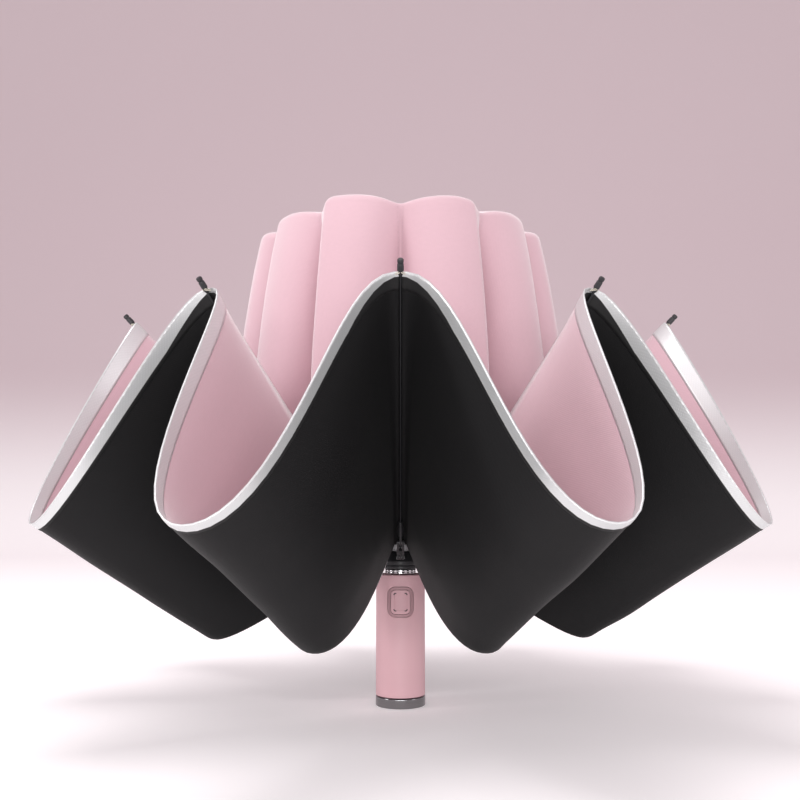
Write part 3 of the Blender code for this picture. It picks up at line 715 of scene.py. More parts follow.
def material(name):
    """The finish of this name, made once."""
    if name not in MATERIALS:
        colours = bpy.context.scene.umbrella_colours
        cloth, lining, tape, grip, chrome, steel, plastic, wire, thread, floor, wall = (
            tuple(getattr(colours, key)) for key in UmbrellaColours.__annotations__
        )
        makers = {
            "cloth": lambda: woven("Pink cloth", cloth, 0.72, 0.9, 0.86, 0.00012),
            "lining": lambda: woven("Black lining", lining, 0.66, 0.03, 1.5, 0.00010),
            "tape": lambda: reflective("Reflective tape", tape),
            "tape_inside": lambda: reflective("Tape on the lining", tape, lining),
            "grip": lambda: soft_touch("Pink grip", grip),
            "frame": lambda: soft_touch("Mauve frame", shaded(grip, 0.72)),
            "button": lambda: soft_touch("Pink button", shaded(grip, 0.97)),
            "chrome": lambda: metal("Chrome", chrome, 0.12, (1, 1, 30), 0.08),
            # The foot cap's chrome, darkened to 0.3 of its colour: a painted dark reflection
            "smoked": lambda: metal("Smoked chrome", shaded(chrome, 0.3), 0.10, (1, 1, 30), 0.06),
            "steel": lambda: metal("Drawn steel", steel, 0.34, (30, 30, 1), 0.14),
            "rib": lambda: metal("Rib steel", shaded(steel, 0.55), 0.40, (12, 12, 4), 0.12),
            "plastic": lambda: moulded("Dark plastic", plastic),
            "wire": lambda: metal("Coated wire", wire, 0.38, (20, 20, 5), 0.12),
            "thread": lambda: sewing_thread(thread),
            "ground": lambda: pale_ground(floor, wall),
        }
        MATERIALS[name] = makers[name]()
    return MATERIALS[name]


# Cloth: the lines that it follows at each position of the ribs


def away(point, angle, distance):
    return point + distance * np.array((math.cos(angle), math.sin(angle)))


def above(point, angle, distance):
    """The point at a distance on the cloth's side of a line with this angle."""
    return away(point, angle + math.pi / 2, distance)


def mitre(corner, angle_in, angle_out, distance):
    """The corner of a line that stays at a distance on the cloth's side of two ribs."""
    one = np.array((-math.sin(angle_in), math.cos(angle_in)))
    two = np.array((-math.sin(angle_out), math.cos(angle_out)))
    return corner + distance * (one + two) / (1 + one @ two)


def rib_line(sizes, opened, folded):
    """(radius, height) of the cloth over a rib: crown, shoulder, fold and hem."""
    top = sizes.crown_angle
    middle = MIDDLE_RIB_ANGLE + FULL_TURN["middle_rib_hinge_01"] * opened
    elbow = OUTER_RIB_ANGLE + (FULL_TURN["middle_rib_hinge_01"] + FULL_TURN["elbow_hinge_01"]) * opened
    outer = elbow + RIM_FOLD * folded
    crown = above(away(UPPER_ELBOW, top, -sizes.top_rib), top, sizes.standoff)
    shoulder = mitre(UPPER_ELBOW, top, middle, sizes.standoff)
    lower = away(UPPER_ELBOW, middle, MIDDLE_RIB_LENGTH)
    fold = mitre(lower, middle, elbow, sizes.standoff)
    pivot = away(lower, elbow, ELBOW_LENGTH)
    start = above(away(pivot, outer, ELBOW_LENGTH), outer, sizes.standoff)
    hem = above(away(pivot, outer, sizes.outer_rib - sizes.hem_setback), outer, sizes.tip_standoff)
    return np.array([crown, shoulder, fold, start, hem] if folded else [crown, shoulder, fold, hem])


def lengths_along(line):
    """How far along the line each of its points is."""
    return np.concatenate([[0], np.cumsum(np.linalg.norm(np.diff(line, axis=0), axis=1))])


CURVE_STEPS = 24


def smooth_line(points):
    """A smooth curve through the points, as a line of short steps."""
    padded = [points[0], *points, points[-1]]
    line = []
    for a, b, c, d in zip(padded, padded[1:], padded[2:], padded[3:]):
        for step in range(CURVE_STEPS):
            t = step / CURVE_STEPS
            weights = ((-t + 2 * t**2 - t**3) / 2, (2 - 5 * t**2 + 3 * t**3) / 2)
            weights += ((t + 4 * t**2 - 3 * t**3) / 2, (-(t**2) + t**3) / 2)
            line.append(sum(w * np.array(p) for w, p in zip(weights, (a, b, c, d))))
    return np.array([*line, points[-1]])


def at_shares(line, shares):
    """The points at these shares of the line's length."""
    along = lengths_along(line)
    return np.stack([np.interp(shares * along[-1], along, line[:, k]) for k in range(2)], axis=1)


def rounded_off(line, shares, width):
    """Points along the line, with its corners rounded by a running mean of this width."""
    total = lengths_along(line)[-1]
    steps = np.linspace(-0.5, 0.5, 9) * width / total
    return np.mean([at_shares(line, np.clip(shares + step, 0, 1)) for step in steps], axis=0)


# Shares of the way out and down from shoulder to trough, then out and up from trough to hem
COLUMN_SHARES = ((0.12, 0.10), (0.25, 0.25), (0.40, 0.48), (0.54, 0.72), (0.65, 0.89), (0.82, 0.978))
SKIRT_SHARES = ((0.113, 0.10), (0.504, 0.493))
# How far out each gore hangs, from the one right of the front rib round to the one left of it
FULLNESS_SHARES = (1.035, 0.935, 0.955, 0.97, 1.0, 1.0, 0.97, 0.955, 0.935, 1.035)
# How far out the top of each gore stands, and how many degrees its column and its hem lean round
COLUMN_FULLNESS = (0.955, 0.925, 1.02, 1.0, 1.0, 1.0, 1.0, 1.02, 0.925, 0.955)
COLUMN_LEAN = (7.5, 7.5, 4, 0, 0, 0, 0, -4, -7.5, -7.5)
SKIRT_LEAN = (1.6, 0, 0, 0, 0, 0, 0, 0, 0, -1.6)
# The shares of the rib's line between which the column's lean fades
COLUMN_LEAN_ENDS = (0.3, 0.6)
# Where a gore changes from its top's fullness to its hem's, as shares of the rib's line from the shoulder
FULLNESS_CHANGE = (0.2, 0.55)
# Lengths over which the corners of the cloth's line are rounded, in the middle of a gore and over a rib
GORE_ROUNDING = 0.008
RIB_ROUNDING = 0.004


def gore_line(sizes, shares, fullness, column_fullness):
    """(radius, height) of the cloth half way between two ribs at rest, at shares of the rib's line."""
    crown = rib_line(sizes, 0, 0)[0]
    shoulder = np.array((sizes.shoulder_radius, UPPER_ELBOW[1] + sizes.shoulder_rise))
    trough = np.array((sizes.trough_radius, LOWER_ELBOW[1] - sizes.trough_drop))
    hem = np.array((sizes.hem_radius, LOWER_ELBOW[1] + sizes.hem_rise))
    column = [shoulder + np.array(share) * (trough - shoulder) for share in COLUMN_SHARES]
    skirt = [trough + np.array(share) * (hem - trough) for share in SKIRT_SHARES]
    line = np.concatenate([[crown], smooth_line([shoulder, *column, trough, *skirt, hem])])
    along = lengths_along(line) / lengths_along(line)[-1]
    corner, fold, _ = corner_shares(sizes)
    lowest = along[np.argmin(line[:, 1])]
    even = np.interp(shares, (0, corner, fold, 1), (0, along[1], lowest, 1))
    points = rounded_off(line, even, GORE_ROUNDING)
    below = smoothstep(shares, *(corner + share for share in FULLNESS_CHANGE))
    points[:, 0] *= column_fullness + (fullness - column_fullness) * below
    return points


def corner_shares(sizes):
    """The shares of the rib's line at which its shoulder and its fold are, and its whole length."""
    along = lengths_along(rib_line(sizes, 0, 0))
    return along[1] / along[-1], along[2] / along[-1], along[-1]


def smoothstep(value, start, end):
    """0 at start, rising smoothly to 1 at end."""
    t = np.clip((value - start) / (end - start), 0, 1)
    return t * t * (3 - 2 * t)


NOISE_ROWS = 64


def value_noise(x, y, period_x, seed):
    """Smooth noise from -1 to 1 that repeats along x."""
    lattice = np.random.default_rng(seed).uniform(-1, 1, (period_x, NOISE_ROWS))
    column, row = np.floor(x).astype(int), np.floor(y).astype(int)
    tx, ty = smoothstep(x - column, 0, 1), smoothstep(y - row, 0, 1)
    corners = [
        lattice[(column + dx) % period_x, (row + dy) % NOISE_ROWS] for dx in (0, 1) for dy in (0, 1)
    ]
    low = corners[0] * (1 - ty) + corners[1] * ty
    high = corners[2] * (1 - ty) + corners[3] * ty
    return low * (1 - tx) + high * tx


HALF_GORE_STEPS = 18
CREASE_STEPS = 2
# The power by which the steps across half a gore crowd towards its middle
CROWDING = 1.15
# Where the column's pleats turn into the skirt's lobes, and where the flat strip over a rib widens to that
# over a rod, as shares of the rib's line before the fold
SKIRT_BEGINS = (0.26, 0.09)
ROD_BEGINS = (0.04, 0.005)
# Each row crosses half a gore as a cubic curve from the rib to the gore's middle. In the skirt its first
# handle lies at these shares: of the drop to the middle, of the half width and of the way out. The knots
# count from the fold along the rib's line, and the last value of each is at the hem
SKIRT_KNOTS = (-0.1, -0.02, 0, 0.06, 0.25)
SKIRT_DROOP = (0.1, 0.28, 0.33, 0.30, 0.30, 0.02)
SKIRT_SPREAD = (0.30, 0.24, 0.18, 0.18, 0.28, 0.36)
SKIRT_REACH = (-0.03, -0.03, 0.10, 0.34, 0.22, 0.05)
# In the column the first handle makes a crisp crease. On a flank that leans back it is pulled part of the way
# to a softer one
COLUMN_REACH = 0.7
COLUMN_SPREAD = 0.08
FLANK_SHARE = 0.35
FLANK_REACH = 0.4
# How broad the nose of a pleat is, as a share of the half width, in the column and in the skirt
COLUMN_NOSE = 0.62
SKIRT_NOSE = 0.54
# The flat strip over a rib takes up at most this share of half a gore
FLAT_SHARE = 0.45
# How much the folding rim draws the pleats in above the fold, the share of the rib's line before it where that
# begins, and how far the rim carries the lobes' hems with it
RIM_DRAW_IN = 0.4
RIM_DRAW_BEGINS = 0.05
RIM_CARRY = 0.25
# How far an opened gore sags between its ribs
OPEN_SAG = 0.004


def first_handles(shares, fold, start, end, half_width, flank):
    """Where each row heads as it leaves its rib: in the skirt, and in the column."""
    knots = [*(fold + knot for knot in SKIRT_KNOTS), 1]
    droop, spread, reach = (
        np.interp(shares, knots, values) for values in (SKIRT_DROOP, SKIRT_SPREAD, SKIRT_REACH)
    )
    way = end - start
    skirt = start + way * np.stack([reach, 0 * shares, droop], axis=1)
    skirt[:, 1] += half_width * spread
    column = start + way * (COLUMN_REACH, 0, 0) + half_width[:, None] * (0, COLUMN_SPREAD, 0)
    softer = start + way * (FLANK_REACH, FLANK_REACH, 0)
    return skirt, column + FLANK_SHARE * flank * (softer - column)


def half_gore(sizes, shares, opened, folded, fullness=1.0, column_fullness=1.0, flank=0.0):
    """Points of each row from a rib to the gore's middle, in the rib's frame, as rows by columns by 3."""
    fold = corner_shares(sizes)[1]
    ribs = rounded_off(rib_line(sizes, opened, folded), shares, RIB_ROUNDING)
    at_rest = rounded_off(rib_line(sizes, 0, 0), shares, RIB_ROUNDING)
    cosine, sine = math.cos(GORE_HALF_ANGLE), math.sin(GORE_HALF_ANGLE)
    bulge = gore_line(sizes, shares, fullness, column_fullness) - at_rest * (cosine, 1)
    drawn_in = RIM_DRAW_IN * folded * (1 - smoothstep(shares, fold - RIM_DRAW_BEGINS, fold))
    bulge = bulge * (1 - drawn_in)[:, None]
    keep = (1 - opened) ** 2
    sag = OPEN_SAG * opened * np.sin(np.pi * shares)
    far = ribs * (cosine, 1) + keep * bulge - np.stack([np.zeros_like(shares), sag], axis=1)
    if folded:
        far += (smoothstep(shares, fold, 1) * RIM_CARRY)[:, None] * (ribs - at_rest) * (cosine, 1)
    rod = smoothstep(shares, *(fold - share for share in ROD_BEGINS))
    flat = sizes.crease + (sizes.crease_at_rod - sizes.crease) * rod
    flat = np.minimum(flat, FLAT_SHARE * ribs[:, 0] * sine)
    start = np.stack([ribs[:, 0], flat, ribs[:, 1]], axis=1)
    end = np.stack([far[:, 0] * cosine, far[:, 0] * sine, far[:, 1]], axis=1)
    half_width = far[:, 0] * sine
    tangent = np.array((-sine, cosine, 0))
    skirt = smoothstep(shares, *(fold - share for share in SKIRT_BEGINS))[:, None]
    in_skirt, in_column = first_handles(shares, fold, start, end, half_width, flank)
    straight = start + (end - start) / 3
    first = (1 - keep) * straight + keep * (skirt * in_skirt + (1 - skirt) * in_column)
    nose = (COLUMN_NOSE + (SKIRT_NOSE - COLUMN_NOSE) * skirt[:, 0]) * half_width
    second = end - nose[:, None] * tangent
    columns = [start * (1, step / CREASE_STEPS, 1) for step in range(CREASE_STEPS)]
    for step in range(HALF_GORE_STEPS + 1):
        s = (1 - step / HALF_GORE_STEPS) ** CROWDING
        t = 1 - s
        columns.append(s**3 * start + 3 * s**2 * t * first + 3 * s * t**2 * second + t**3 * end)
    return np.stack(columns, axis=1)


def flanks_of(lean):
    """Which half of a gore faces back when its pleat leans round: 1 for that half and 0 for the other."""
    return (1, 0) if lean > 0 else (0, 1) if lean < 0 else (0, 0)


def whole_cloth(sizes, shares, opened=0.0, folded=0.0):
    """Every row round the umbrella, as rows by columns by 3."""
    gores = []
    above_fold = 1 - smoothstep(shares, *COLUMN_LEAN_ENDS)
    below_fold = smoothstep(shares, COLUMN_LEAN_ENDS[1], 1)
    for index, fullness in enumerate(FULLNESS_SHARES):
        half, other = (
            half_gore(sizes, shares, opened, folded, fullness, COLUMN_FULLNESS[index], flank)
            for flank in flanks_of(COLUMN_LEAN[index])
        )
        other = other[:, 1:-1][:, ::-1] * (1, -1, 1)
        for part, turn in ((half, index), (other, index + 1)):
            x, y, z = part[..., 0], part[..., 1], part[..., 2]
            inner = np.abs(np.arctan2(y, x)) / GORE_HALF_ANGLE
            lean = np.radians(COLUMN_LEAN[index] * above_fold + SKIRT_LEAN[index] * below_fold)[:, None]
            lean = lean * (1 - opened) * np.sin(np.pi / 2 * np.minimum(inner, 1)) ** 2
            angle = FRONT_AZIMUTH + 2 * math.pi * turn / RIB_COUNT + lean
            cosine, sine = np.cos(angle), np.sin(angle)
            gores.append(np.stack([x * cosine - y * sine, x * sine + y * cosine, z], axis=-1))
    return np.concatenate(gores, axis=1)


def normals_of(grid):
    """Unit normals of a grid that is closed along its rows, towards the coloured face."""
    across = np.roll(grid, -1, axis=1) - np.roll(grid, 1, axis=1)
    along = np.gradient(grid, axis=0)
    normal = np.cross(along, across)
    return normal / np.maximum(np.linalg.norm(normal, axis=2, keepdims=True), 1e-12)


def flat_pattern(sizes, shares):
    """For each point: its way across the flat gore, to the nearest seam and along the rib, and the width."""
    opened = half_gore(sizes, shares, 1.0, 0.0)
    cosine, sine = math.cos(GORE_HALF_ANGLE), math.sin(GORE_HALF_ANGLE)
    across = opened[..., 1] * cosine + (opened[:, :1, 0] - opened[..., 0]) * sine
    middle = across[:, -1:]
    other = (2 * middle - across)[:, 1:-1][:, ::-1]
    gore = np.concatenate([across, other], axis=1)
    width = 2 * middle
    seam = np.minimum(gore, width - gore)
    columns = gore.shape[1] * RIB_COUNT
    along = np.repeat(shares[:, None] * corner_shares(sizes)[2], columns, axis=1)
    return np.tile(gore, RIB_COUNT), np.tile(seam, RIB_COUNT), along, np.tile(width, (1, columns))


# Small folds of the stretched cloth: how many round a gore, how many in a metre down it, the seed of their
# noise and their height
UPRIGHT_FOLDS = (7, 9, 3, 0.00045)
SOFT_FOLDS = (2, 14, 8, 0.0010)
SLACK_FOLDS = (3, 16, 21, 0.0009)
# How many of the slack folds a line straight down the cloth crosses in a metre
SLACK_SLANT = 11
# The share of a gore's width beside each rib where the folds begin and where they are full
FOLDS_FREE = (0.03, 0.22)
# The shares of the rib's line before and after the fold between which the skirt's folds take over
FOLDS_CHANGE = (-0.05, 0.08)
# How much of the soft folds shows in the column, and how much of all of them the opened canopy pulls flat
SOFT_IN_COLUMN = 0.6
PULLED_FLAT = 0.6


def small_folds(kind, around, along, slant=0):
    """How far folds of one kind lift the cloth."""
    number, lengthwise, seed, height = kind
    return value_noise(around * number + along * slant, along * lengthwise, RIB_COUNT * number, seed) * height


def wrinkled(sizes, shares, grid, opened):
    """The grid with the small folds of stretched cloth, none of them at a rib."""
    _, seam, along, width = flat_pattern(sizes, shares)
    _, fold, total = corner_shares(sizes)
    columns = grid.shape[1]
    around = np.tile(np.arange(columns) / columns * RIB_COUNT, (len(shares), 1))
    free = smoothstep(seam / np.maximum(width, 1e-6), *FOLDS_FREE)
    skirt = smoothstep(along / total, *(fold + share for share in FOLDS_CHANGE))
    column = 1 - skirt
    upright = small_folds(UPRIGHT_FOLDS, around, along)
    soft = small_folds(SOFT_FOLDS, around, along)
    slack = small_folds(SLACK_FOLDS, around, along, SLACK_SLANT)
    height = column * (upright + soft * SOFT_IN_COLUMN) + skirt * (slack + soft)
    height *= free * (1 - PULLED_FLAT * opened)
    return grid + normals_of(grid) * height[..., None]


def shape_nodes(cloth, steps):
    """Geometry nodes that move the cloth with the runner and with the folding rim."""
    tree = bpy.data.node_groups.new(cloth.name + "_folding", "GeometryNodeTree")
    tree.interface.new_socket("Geometry", in_out="INPUT", socket_type="NodeSocketGeometry")
    tree.interface.new_socket("Geometry", in_out="OUTPUT", socket_type="NodeSocketGeometry")

    def node(kind, *sockets, **settings):
        made = tree.nodes.new(kind)
        for name, value in settings.items():
            setattr(made, name, value)
        for socket, value in zip(made.inputs, sockets):
            if isinstance(value, bpy.types.NodeSocket):
                tree.links.new(value, socket)
            elif value is not None:
                socket.default_value = value
        return made

    def where(body):
        return node("GeometryNodeObjectInfo", frame["bodies"][body], transform_space="ORIGINAL")

    def height(body):
        return node("ShaderNodeSeparateXYZ", where(body).outputs["Location"]).outputs["Z"]

    def lean(body):
        euler = node("FunctionNodeRotationToEuler", where(body).outputs["Rotation"])
        return node("ShaderNodeSeparateXYZ", euler.outputs[0]).outputs["X"]

    def number(operation, *values):
        return node("ShaderNodeMath", *values, operation=operation).outputs[0]

    def shift(name, amount):
        stored = node("GeometryNodeInputNamedAttribute", name, data_type="FLOAT_VECTOR").outputs[0]
        made = node("ShaderNodeVectorMath", stored, operation="SCALE")
        tree.links.new(amount, made.inputs["Scale"])
        return made.outputs[0]

    opened = number("DIVIDE", number("SUBTRACT", height("runner"), height("upper_shaft")), RUNNER_TRAVEL)
    squared = number("MULTIPLY", opened, opened)
    folded = number("DIVIDE", number("SUBTRACT", lean("elbow_01"), lean("outer_rib_01")), RIM_FOLD)
    total = None
    for name, amount in zip(steps, (opened, squared, folded)):
        moved = shift(name, amount)
        if total is not None:
            moved = node("ShaderNodeVectorMath", total, moved, operation="ADD").outputs[0]
        total = moved
    start = node("NodeGroupInput")
    moved = node("GeometryNodeSetPosition", start.outputs[0])
    tree.links.new(total, moved.inputs["Offset"])
    node("NodeGroupOutput", moved.outputs[0])
    cloth.modifiers.new("Folding", "NODES").node_group = tree


# How far apart the ten flat gores lie in the cloth's UV map
GORE_SPACING = 0.4


def store(mesh, label, kind, field, values):
    """A number or a vector for each point."""
    mesh.attributes.new(label, kind, "POINT").data.foreach_set(field, values.ravel().astype(np.float32))


def sheet_mesh(name, sizes, shares, grid):
    """A ring of quads through the rows, with the flat gores as its UV map and its way to seam and hem."""
    rows, columns = grid.shape[:2]
    gore_columns = columns // RIB_COUNT
    index = np.arange(rows * columns).reshape(rows, columns)
    after = np.roll(index, -1, axis=1)
    faces = np.stack([index[:-1], index[1:], after[1:], after[:-1]], axis=-1).reshape(-1, 4)
    mesh = bpy.data.meshes.new(name)
    mesh.from_pydata(grid.reshape(-1, 3).tolist(), [], faces.tolist())
    mesh.shade_smooth()
    across, seam, along, width = flat_pattern(sizes, shares)
    gore = np.arange(columns) // gore_columns
    flat = np.stack([gore * GORE_SPACING + across, along], axis=-1)
    corners = flat.reshape(-1, 2)[faces.ravel()].reshape(-1, 4, 2)
    # A gore's last faces end at its own far edge, and not at the next gore's first
    column = faces[:, 0] % columns
    last = column % gore_columns == gore_columns - 1
    for corner in (2, 3):
        far_edge = width.reshape(-1)[faces[last, corner]]
        corners[last, corner, 0] = (column // gore_columns)[last] * GORE_SPACING + far_edge
    mesh.uv_layers.new(name="flat").data.foreach_set("uv", corners.ravel().astype(np.float32))
    store(mesh, "seam", "FLOAT", "value", seam)
    store(mesh, "edge", "FLOAT", "value", corner_shares(sizes)[2] - along)
    return mesh


def cloth_piece(name, sizes, shares, thickness, finishes):
    """A sheet through the rows that folds with the ribs, with a face of each finish."""
    rest, half, full, rim = (
        wrinkled(sizes, shares, whole_cloth(sizes, shares, opened, folded), opened)
        for opened, folded in ((0, 0), (0.5, 0), (1, 0), (0, 1))
    )
    mesh = sheet_mesh(name, sizes, shares, rest)
    steps = {
        "opening": 4 * half - 3 * rest - full,
        "opening_squared": 2 * rest + 2 * full - 4 * half,
        "folding": rim - rest,
    }
    for label, value in steps.items():
        store(mesh, label, "FLOAT_VECTOR", "vector", value)
    made = bpy.data.objects.new(name, mesh)
    bpy.context.scene.collection.objects.link(made)
    for finish in finishes:
        mesh.materials.append(material(finish))
    shape_nodes(made, steps)
    solid = made.modifiers.new("Thickness", "SOLIDIFY")
    solid.thickness = thickness
    solid.offset = 0
    solid.use_even_offset = False
    solid.material_offset = len(finishes) - 1
    solid.material_offset_rim = 0
    return made


# The pieces


# Rows of the canopy's cloth: inside the shoulder, round it, down the column, round the fold and to the hem
CLOTH_ROWS = (14, 12, 34, 20, 34)
# Shares of the rib's line, to either side of the shoulder and of the fold, in which the rows stand closer
SHOULDER_BEND = 0.02
FOLD_BEND = 0.03
# How far the canopy's cloth ends inside the folded tape
CLOTH_END = 0.0015
TAPE_ROWS = 7


class UMBRELLA_OT_canopy(bpy.types.Operator):
    """Makes the canopy: ten gores of one sheet, coloured on one face and dark on the other"""

    bl_idname = "umbrella.canopy"
    bl_label = "Canopy"

    def execute(self, context):
        sizes = context.scene.umbrella_cloth
        shoulder, fold, total = corner_shares(sizes)
        stops = (0, shoulder - SHOULDER_BEND, shoulder + SHOULDER_BEND, fold - FOLD_BEND, fold + FOLD_BEND)
        stretches = [
            np.linspace(start, end, rows, endpoint=False)
            for start, end, rows in zip(stops, stops[1:], CLOTH_ROWS)
        ]
        skirt = np.linspace(stops[-1], 1 - CLOTH_END / total, CLOTH_ROWS[-1])
        shares = np.concatenate([*stretches, skirt])
        made = cloth_piece("canopy_cloth", sizes, shares, sizes.thickness, ("cloth", "lining"))
        stand_in(made, "canopy", "upper_shaft")
        return {"FINISHED"}


class UMBRELLA_OT_hem_tape(bpy.types.Operator):
    bl_idname = "umbrella.hem_tape"
    bl_label = "Hem tape"

    def execute(self, context):
        sizes = context.scene.umbrella_cloth
        slant = corner_shares(sizes)[2]
        shares = np.linspace(1 - sizes.tape_width / slant, 1, TAPE_ROWS)
        tape = cloth_piece("hem_tape", sizes, shares, sizes.tape_thickness, ("tape", "tape_inside"))
        stand_in(tape, "hem_strip", "upper_shaft")
        opened_hem = whole_cloth(sizes, np.ones(1), 1.0)[0]
        return {"FINISHED"}


# The grip is drawn with this many sides, and so is what is cut to its curve
GRIP_SIDES = 192
SHARPEST_CORNER = 0.0008
# How far a cutting tool, and a plate before it is cut, stands past what is left
PAST = 0.005
PLATE_MARGIN = 0.004
# How far a groove's or a dish's tool stands out of the face that it cuts
TOOL_PROUD = 0.001
# A plate's window starts this far in front of the axis, to leave only the front of its tube
FRONT_ONLY = 0.002


def button_centre():
    return (foot_of("button_bezel") + top_of("button_bezel")) / 2


def button_window(sizes, grow, near, far):
    """A prism in the shape of the button seen from the front, wider by the same margin all round."""
    corner = max(sizes.button_corner + grow, SHARPEST_CORNER)
    width, height, centre = sizes.button_width + 2 * grow, sizes.button_height + 2 * grow, button_centre()
    low, high = (-width / 2, -far, centre - height / 2), (width / 2, -near, centre + height / 2)
    made = block("Window", low, high)
    select_edges(made, lambda a, b: close(a.x, b.x) and close(a.z, b.z) and not close(a.y, b.y))
    bpy.ops.mesh.bevel(offset=corner, segments=8, affect="EDGES")
    bpy.ops.object.mode_set(mode="OBJECT")
    return made


def curved_plate(name, sizes, grow, inner, outer):
    """A rounded rectangle of a tube about the handle's axis."""
    low, high = foot_of("button_bezel") - PLATE_MARGIN, top_of("button_bezel") + PLATE_MARGIN
    profile = [(inner, low), (outer, low), (outer, high), (inner, high), (inner, low)]
    shell = turned(name, profile, GRIP_SIDES)
    return cut(shell, "INTERSECT", button_window(sizes, grow, FRONT_ONLY, outer + PLATE_MARGIN))


def curved_ring(name, sizes, grow_out, grow_in, inner, outer):
    """A frame of a tube about the handle's axis, between two rounded rectangles."""
    plate = curved_plate(name, sizes, grow_out, inner, outer)
    return cut(plate, "DIFFERENCE", button_window(sizes, grow_in, 0, outer + PAST))


# Thickness of the grip's closed top
GRIP_TOP = 0.003
# Bevels: where the grip's window is cut, on the frame round the button, and on the button
WINDOW_EDGE = 0.0003
FRAME_EDGE = 0.00025
BUTTON_EDGE = 0.0004


class UMBRELLA_OT_grip(bpy.types.Operator):
    """Makes the soft-touch grip, with its window for the button"""

    bl_idname = "umbrella.grip"
    bl_label = "Grip"

    def execute(self, context):
        sizes = context.scene.umbrella_handle
        foot, top, radius = foot_of("handle_grip"), top_of("handle_grip"), reach_of("handle_grip")
        bore, shaft = radius - sizes.grip_wall, reach_of("lower_tube") + sizes.gap
        corners = [(bore, (foot + top) / 2), (bore, foot), (radius, foot), (radius, top), (shaft, top)]
        corners += [(shaft, top - GRIP_TOP), (bore, top - GRIP_TOP), (bore, (foot + top) / 2)]
        grip = turned("soft_grip", softened(corners, sizes.grip_edge), GRIP_SIDES)
        cut(grip, "DIFFERENCE", button_window(sizes, sizes.bezel_frame + sizes.gap, 0, radius + PAST))
        edged(grip, WINDOW_EDGE, 3)
        seated(grip)
        finished(grip, "grip")
        stand_in(grip, "handle_grip", "handle")
        return {"FINISHED"}


# Distances out from the button's outline, negative inwards: the edges of the groove in the frame, the rim of
# the button's hidden flange, the edge of its dish, and the edges of the marks in the dish's corners
GROOVE_EDGES = (0.0014, 0.0009)
FLANGE_RIM = 0.0010
DISH_EDGE = -0.0024
MARK_EDGES = (-0.0018, -0.0024)
GROOVE_DEPTH = 0.0004
DISH_DEPTH = 0.00035
MARK_DEPTH = 0.0003
MARK_PROUD = 0.00005
FLANGE_THICKNESS = 0.0012
# How far the plunger reaches into its flange
FLANGE_BITE = 0.0007
# Half the way between two marks, across and up, and the reach of the bars that part them, aside and forward
MARK_GAP = (0.0028, 0.0046)
BAR_REACH = (0.02, 0.03)


class UMBRELLA_OT_button(bpy.types.Operator):
    """Makes the release button and the grooved frame round it"""

    bl_idname = "umbrella.button"
    bl_label = "Button"

    def execute(self, context):
        sizes = context.scene.umbrella_handle
        radius = reach_of("handle_grip")
        outer = radius + sizes.bezel_proud
        back = outer - sizes.bezel_depth
        frame_piece = curved_ring("button_frame", sizes, sizes.bezel_frame, sizes.gap, back, outer)
        edged(frame_piece, FRAME_EDGE, 3)
        groove = curved_ring("Groove", sizes, *GROOVE_EDGES, outer - GROOVE_DEPTH, outer + TOOL_PROUD)
        cut(frame_piece, "DIFFERENCE", groove)
        seated(frame_piece)
        finished(frame_piece, "frame")
        stand_in(frame_piece, "button_bezel", "handle")
        face = radius + sizes.button_proud
        flange = back - sizes.gap
        button = curved_plate("Plunger", sizes, 0, flange - FLANGE_BITE, face)
        edged(button, BUTTON_EDGE, 4)
        dish = curved_plate("Dish", sizes, DISH_EDGE, face - DISH_DEPTH, face + TOOL_PROUD)
        cut(button, "DIFFERENCE", dish)
        cut(button, "UNION", curved_plate("Flange", sizes, FLANGE_RIM, flange - FLANGE_THICKNESS, flange))
        seated(button)
        finished(button, "button")
        marks = curved_ring("Marks", sizes, *MARK_EDGES, face - MARK_DEPTH, face + MARK_PROUD)
        centre = button_centre()
        side, forward = BAR_REACH
        for x, z in ((MARK_GAP[0], side), (side, MARK_GAP[1])):
            cut(marks, "DIFFERENCE", block("Bar", (-x, -forward, centre - z), (x, 0, centre + z)))
        seated(marks)
        finished(marks, "plastic")
        button = joined("thumb_button", button, marks)
        stand_in(button, "release_button", "button")
        return {"FINISHED"}


# The foot cap stands on a ring outside this radius, and the middle of its underside is this far up
FOOT_RING = 0.0126
FOOT_RECESS = 0.0006
# Radius of the flat discs from which its outline starts and at which it ends
FLAT_DISC = 0.004
FOOT_ROUNDING = 0.0009


class UMBRELLA_OT_foot_cap(bpy.types.Operator):
    """Makes the polished cap on the handle's foot"""

    bl_idname = "umbrella.foot_cap"
    bl_label = "Foot cap"

    def execute(self, context):
        sizes = context.scene.umbrella_handle
        foot, rim, radius = foot_of("end_cap"), foot_of("handle_grip") - sizes.gap, reach_of("end_cap")
        plug = reach_of("handle_grip") - sizes.grip_wall - sizes.gap
        recess = foot + FOOT_RECESS
        corners = [(FLAT_DISC, recess), (FOOT_RING - FOOT_RECESS, recess), (FOOT_RING, foot), (radius, foot)]
        corners += [(radius, rim), (plug, rim), (plug, top_of("end_cap")), (FLAT_DISC, top_of("end_cap"))]
        cap = turned("foot_cap", softened(corners, FOOT_ROUNDING, 6), 160, solid=True)
        # The darkened chrome is a painted dark reflection
        finished(cap, "smoked")
        stand_in(cap, "end_cap", "handle")
        return {"FINISHED"}


# The fine groove round the polished ring: half its height, and its depth. The one round the collar: its foot,
# its depth and half its height. Above it the collar is upright up to its shoulder, and slopes in to its lip
RING_GROOVE = (0.0002, 0.0003)
COLLAR_GROOVE = (0.0022, 0.0005, 0.0004)
COLLAR_SHOULDER = 0.0055
COLLAR_LIP = 0.0012
# The collar's outline starts and ends in its bore, this far up
COLLAR_START = 0.004
RING_ROUNDING = 0.0006
COLLAR_ROUNDING = 0.0005


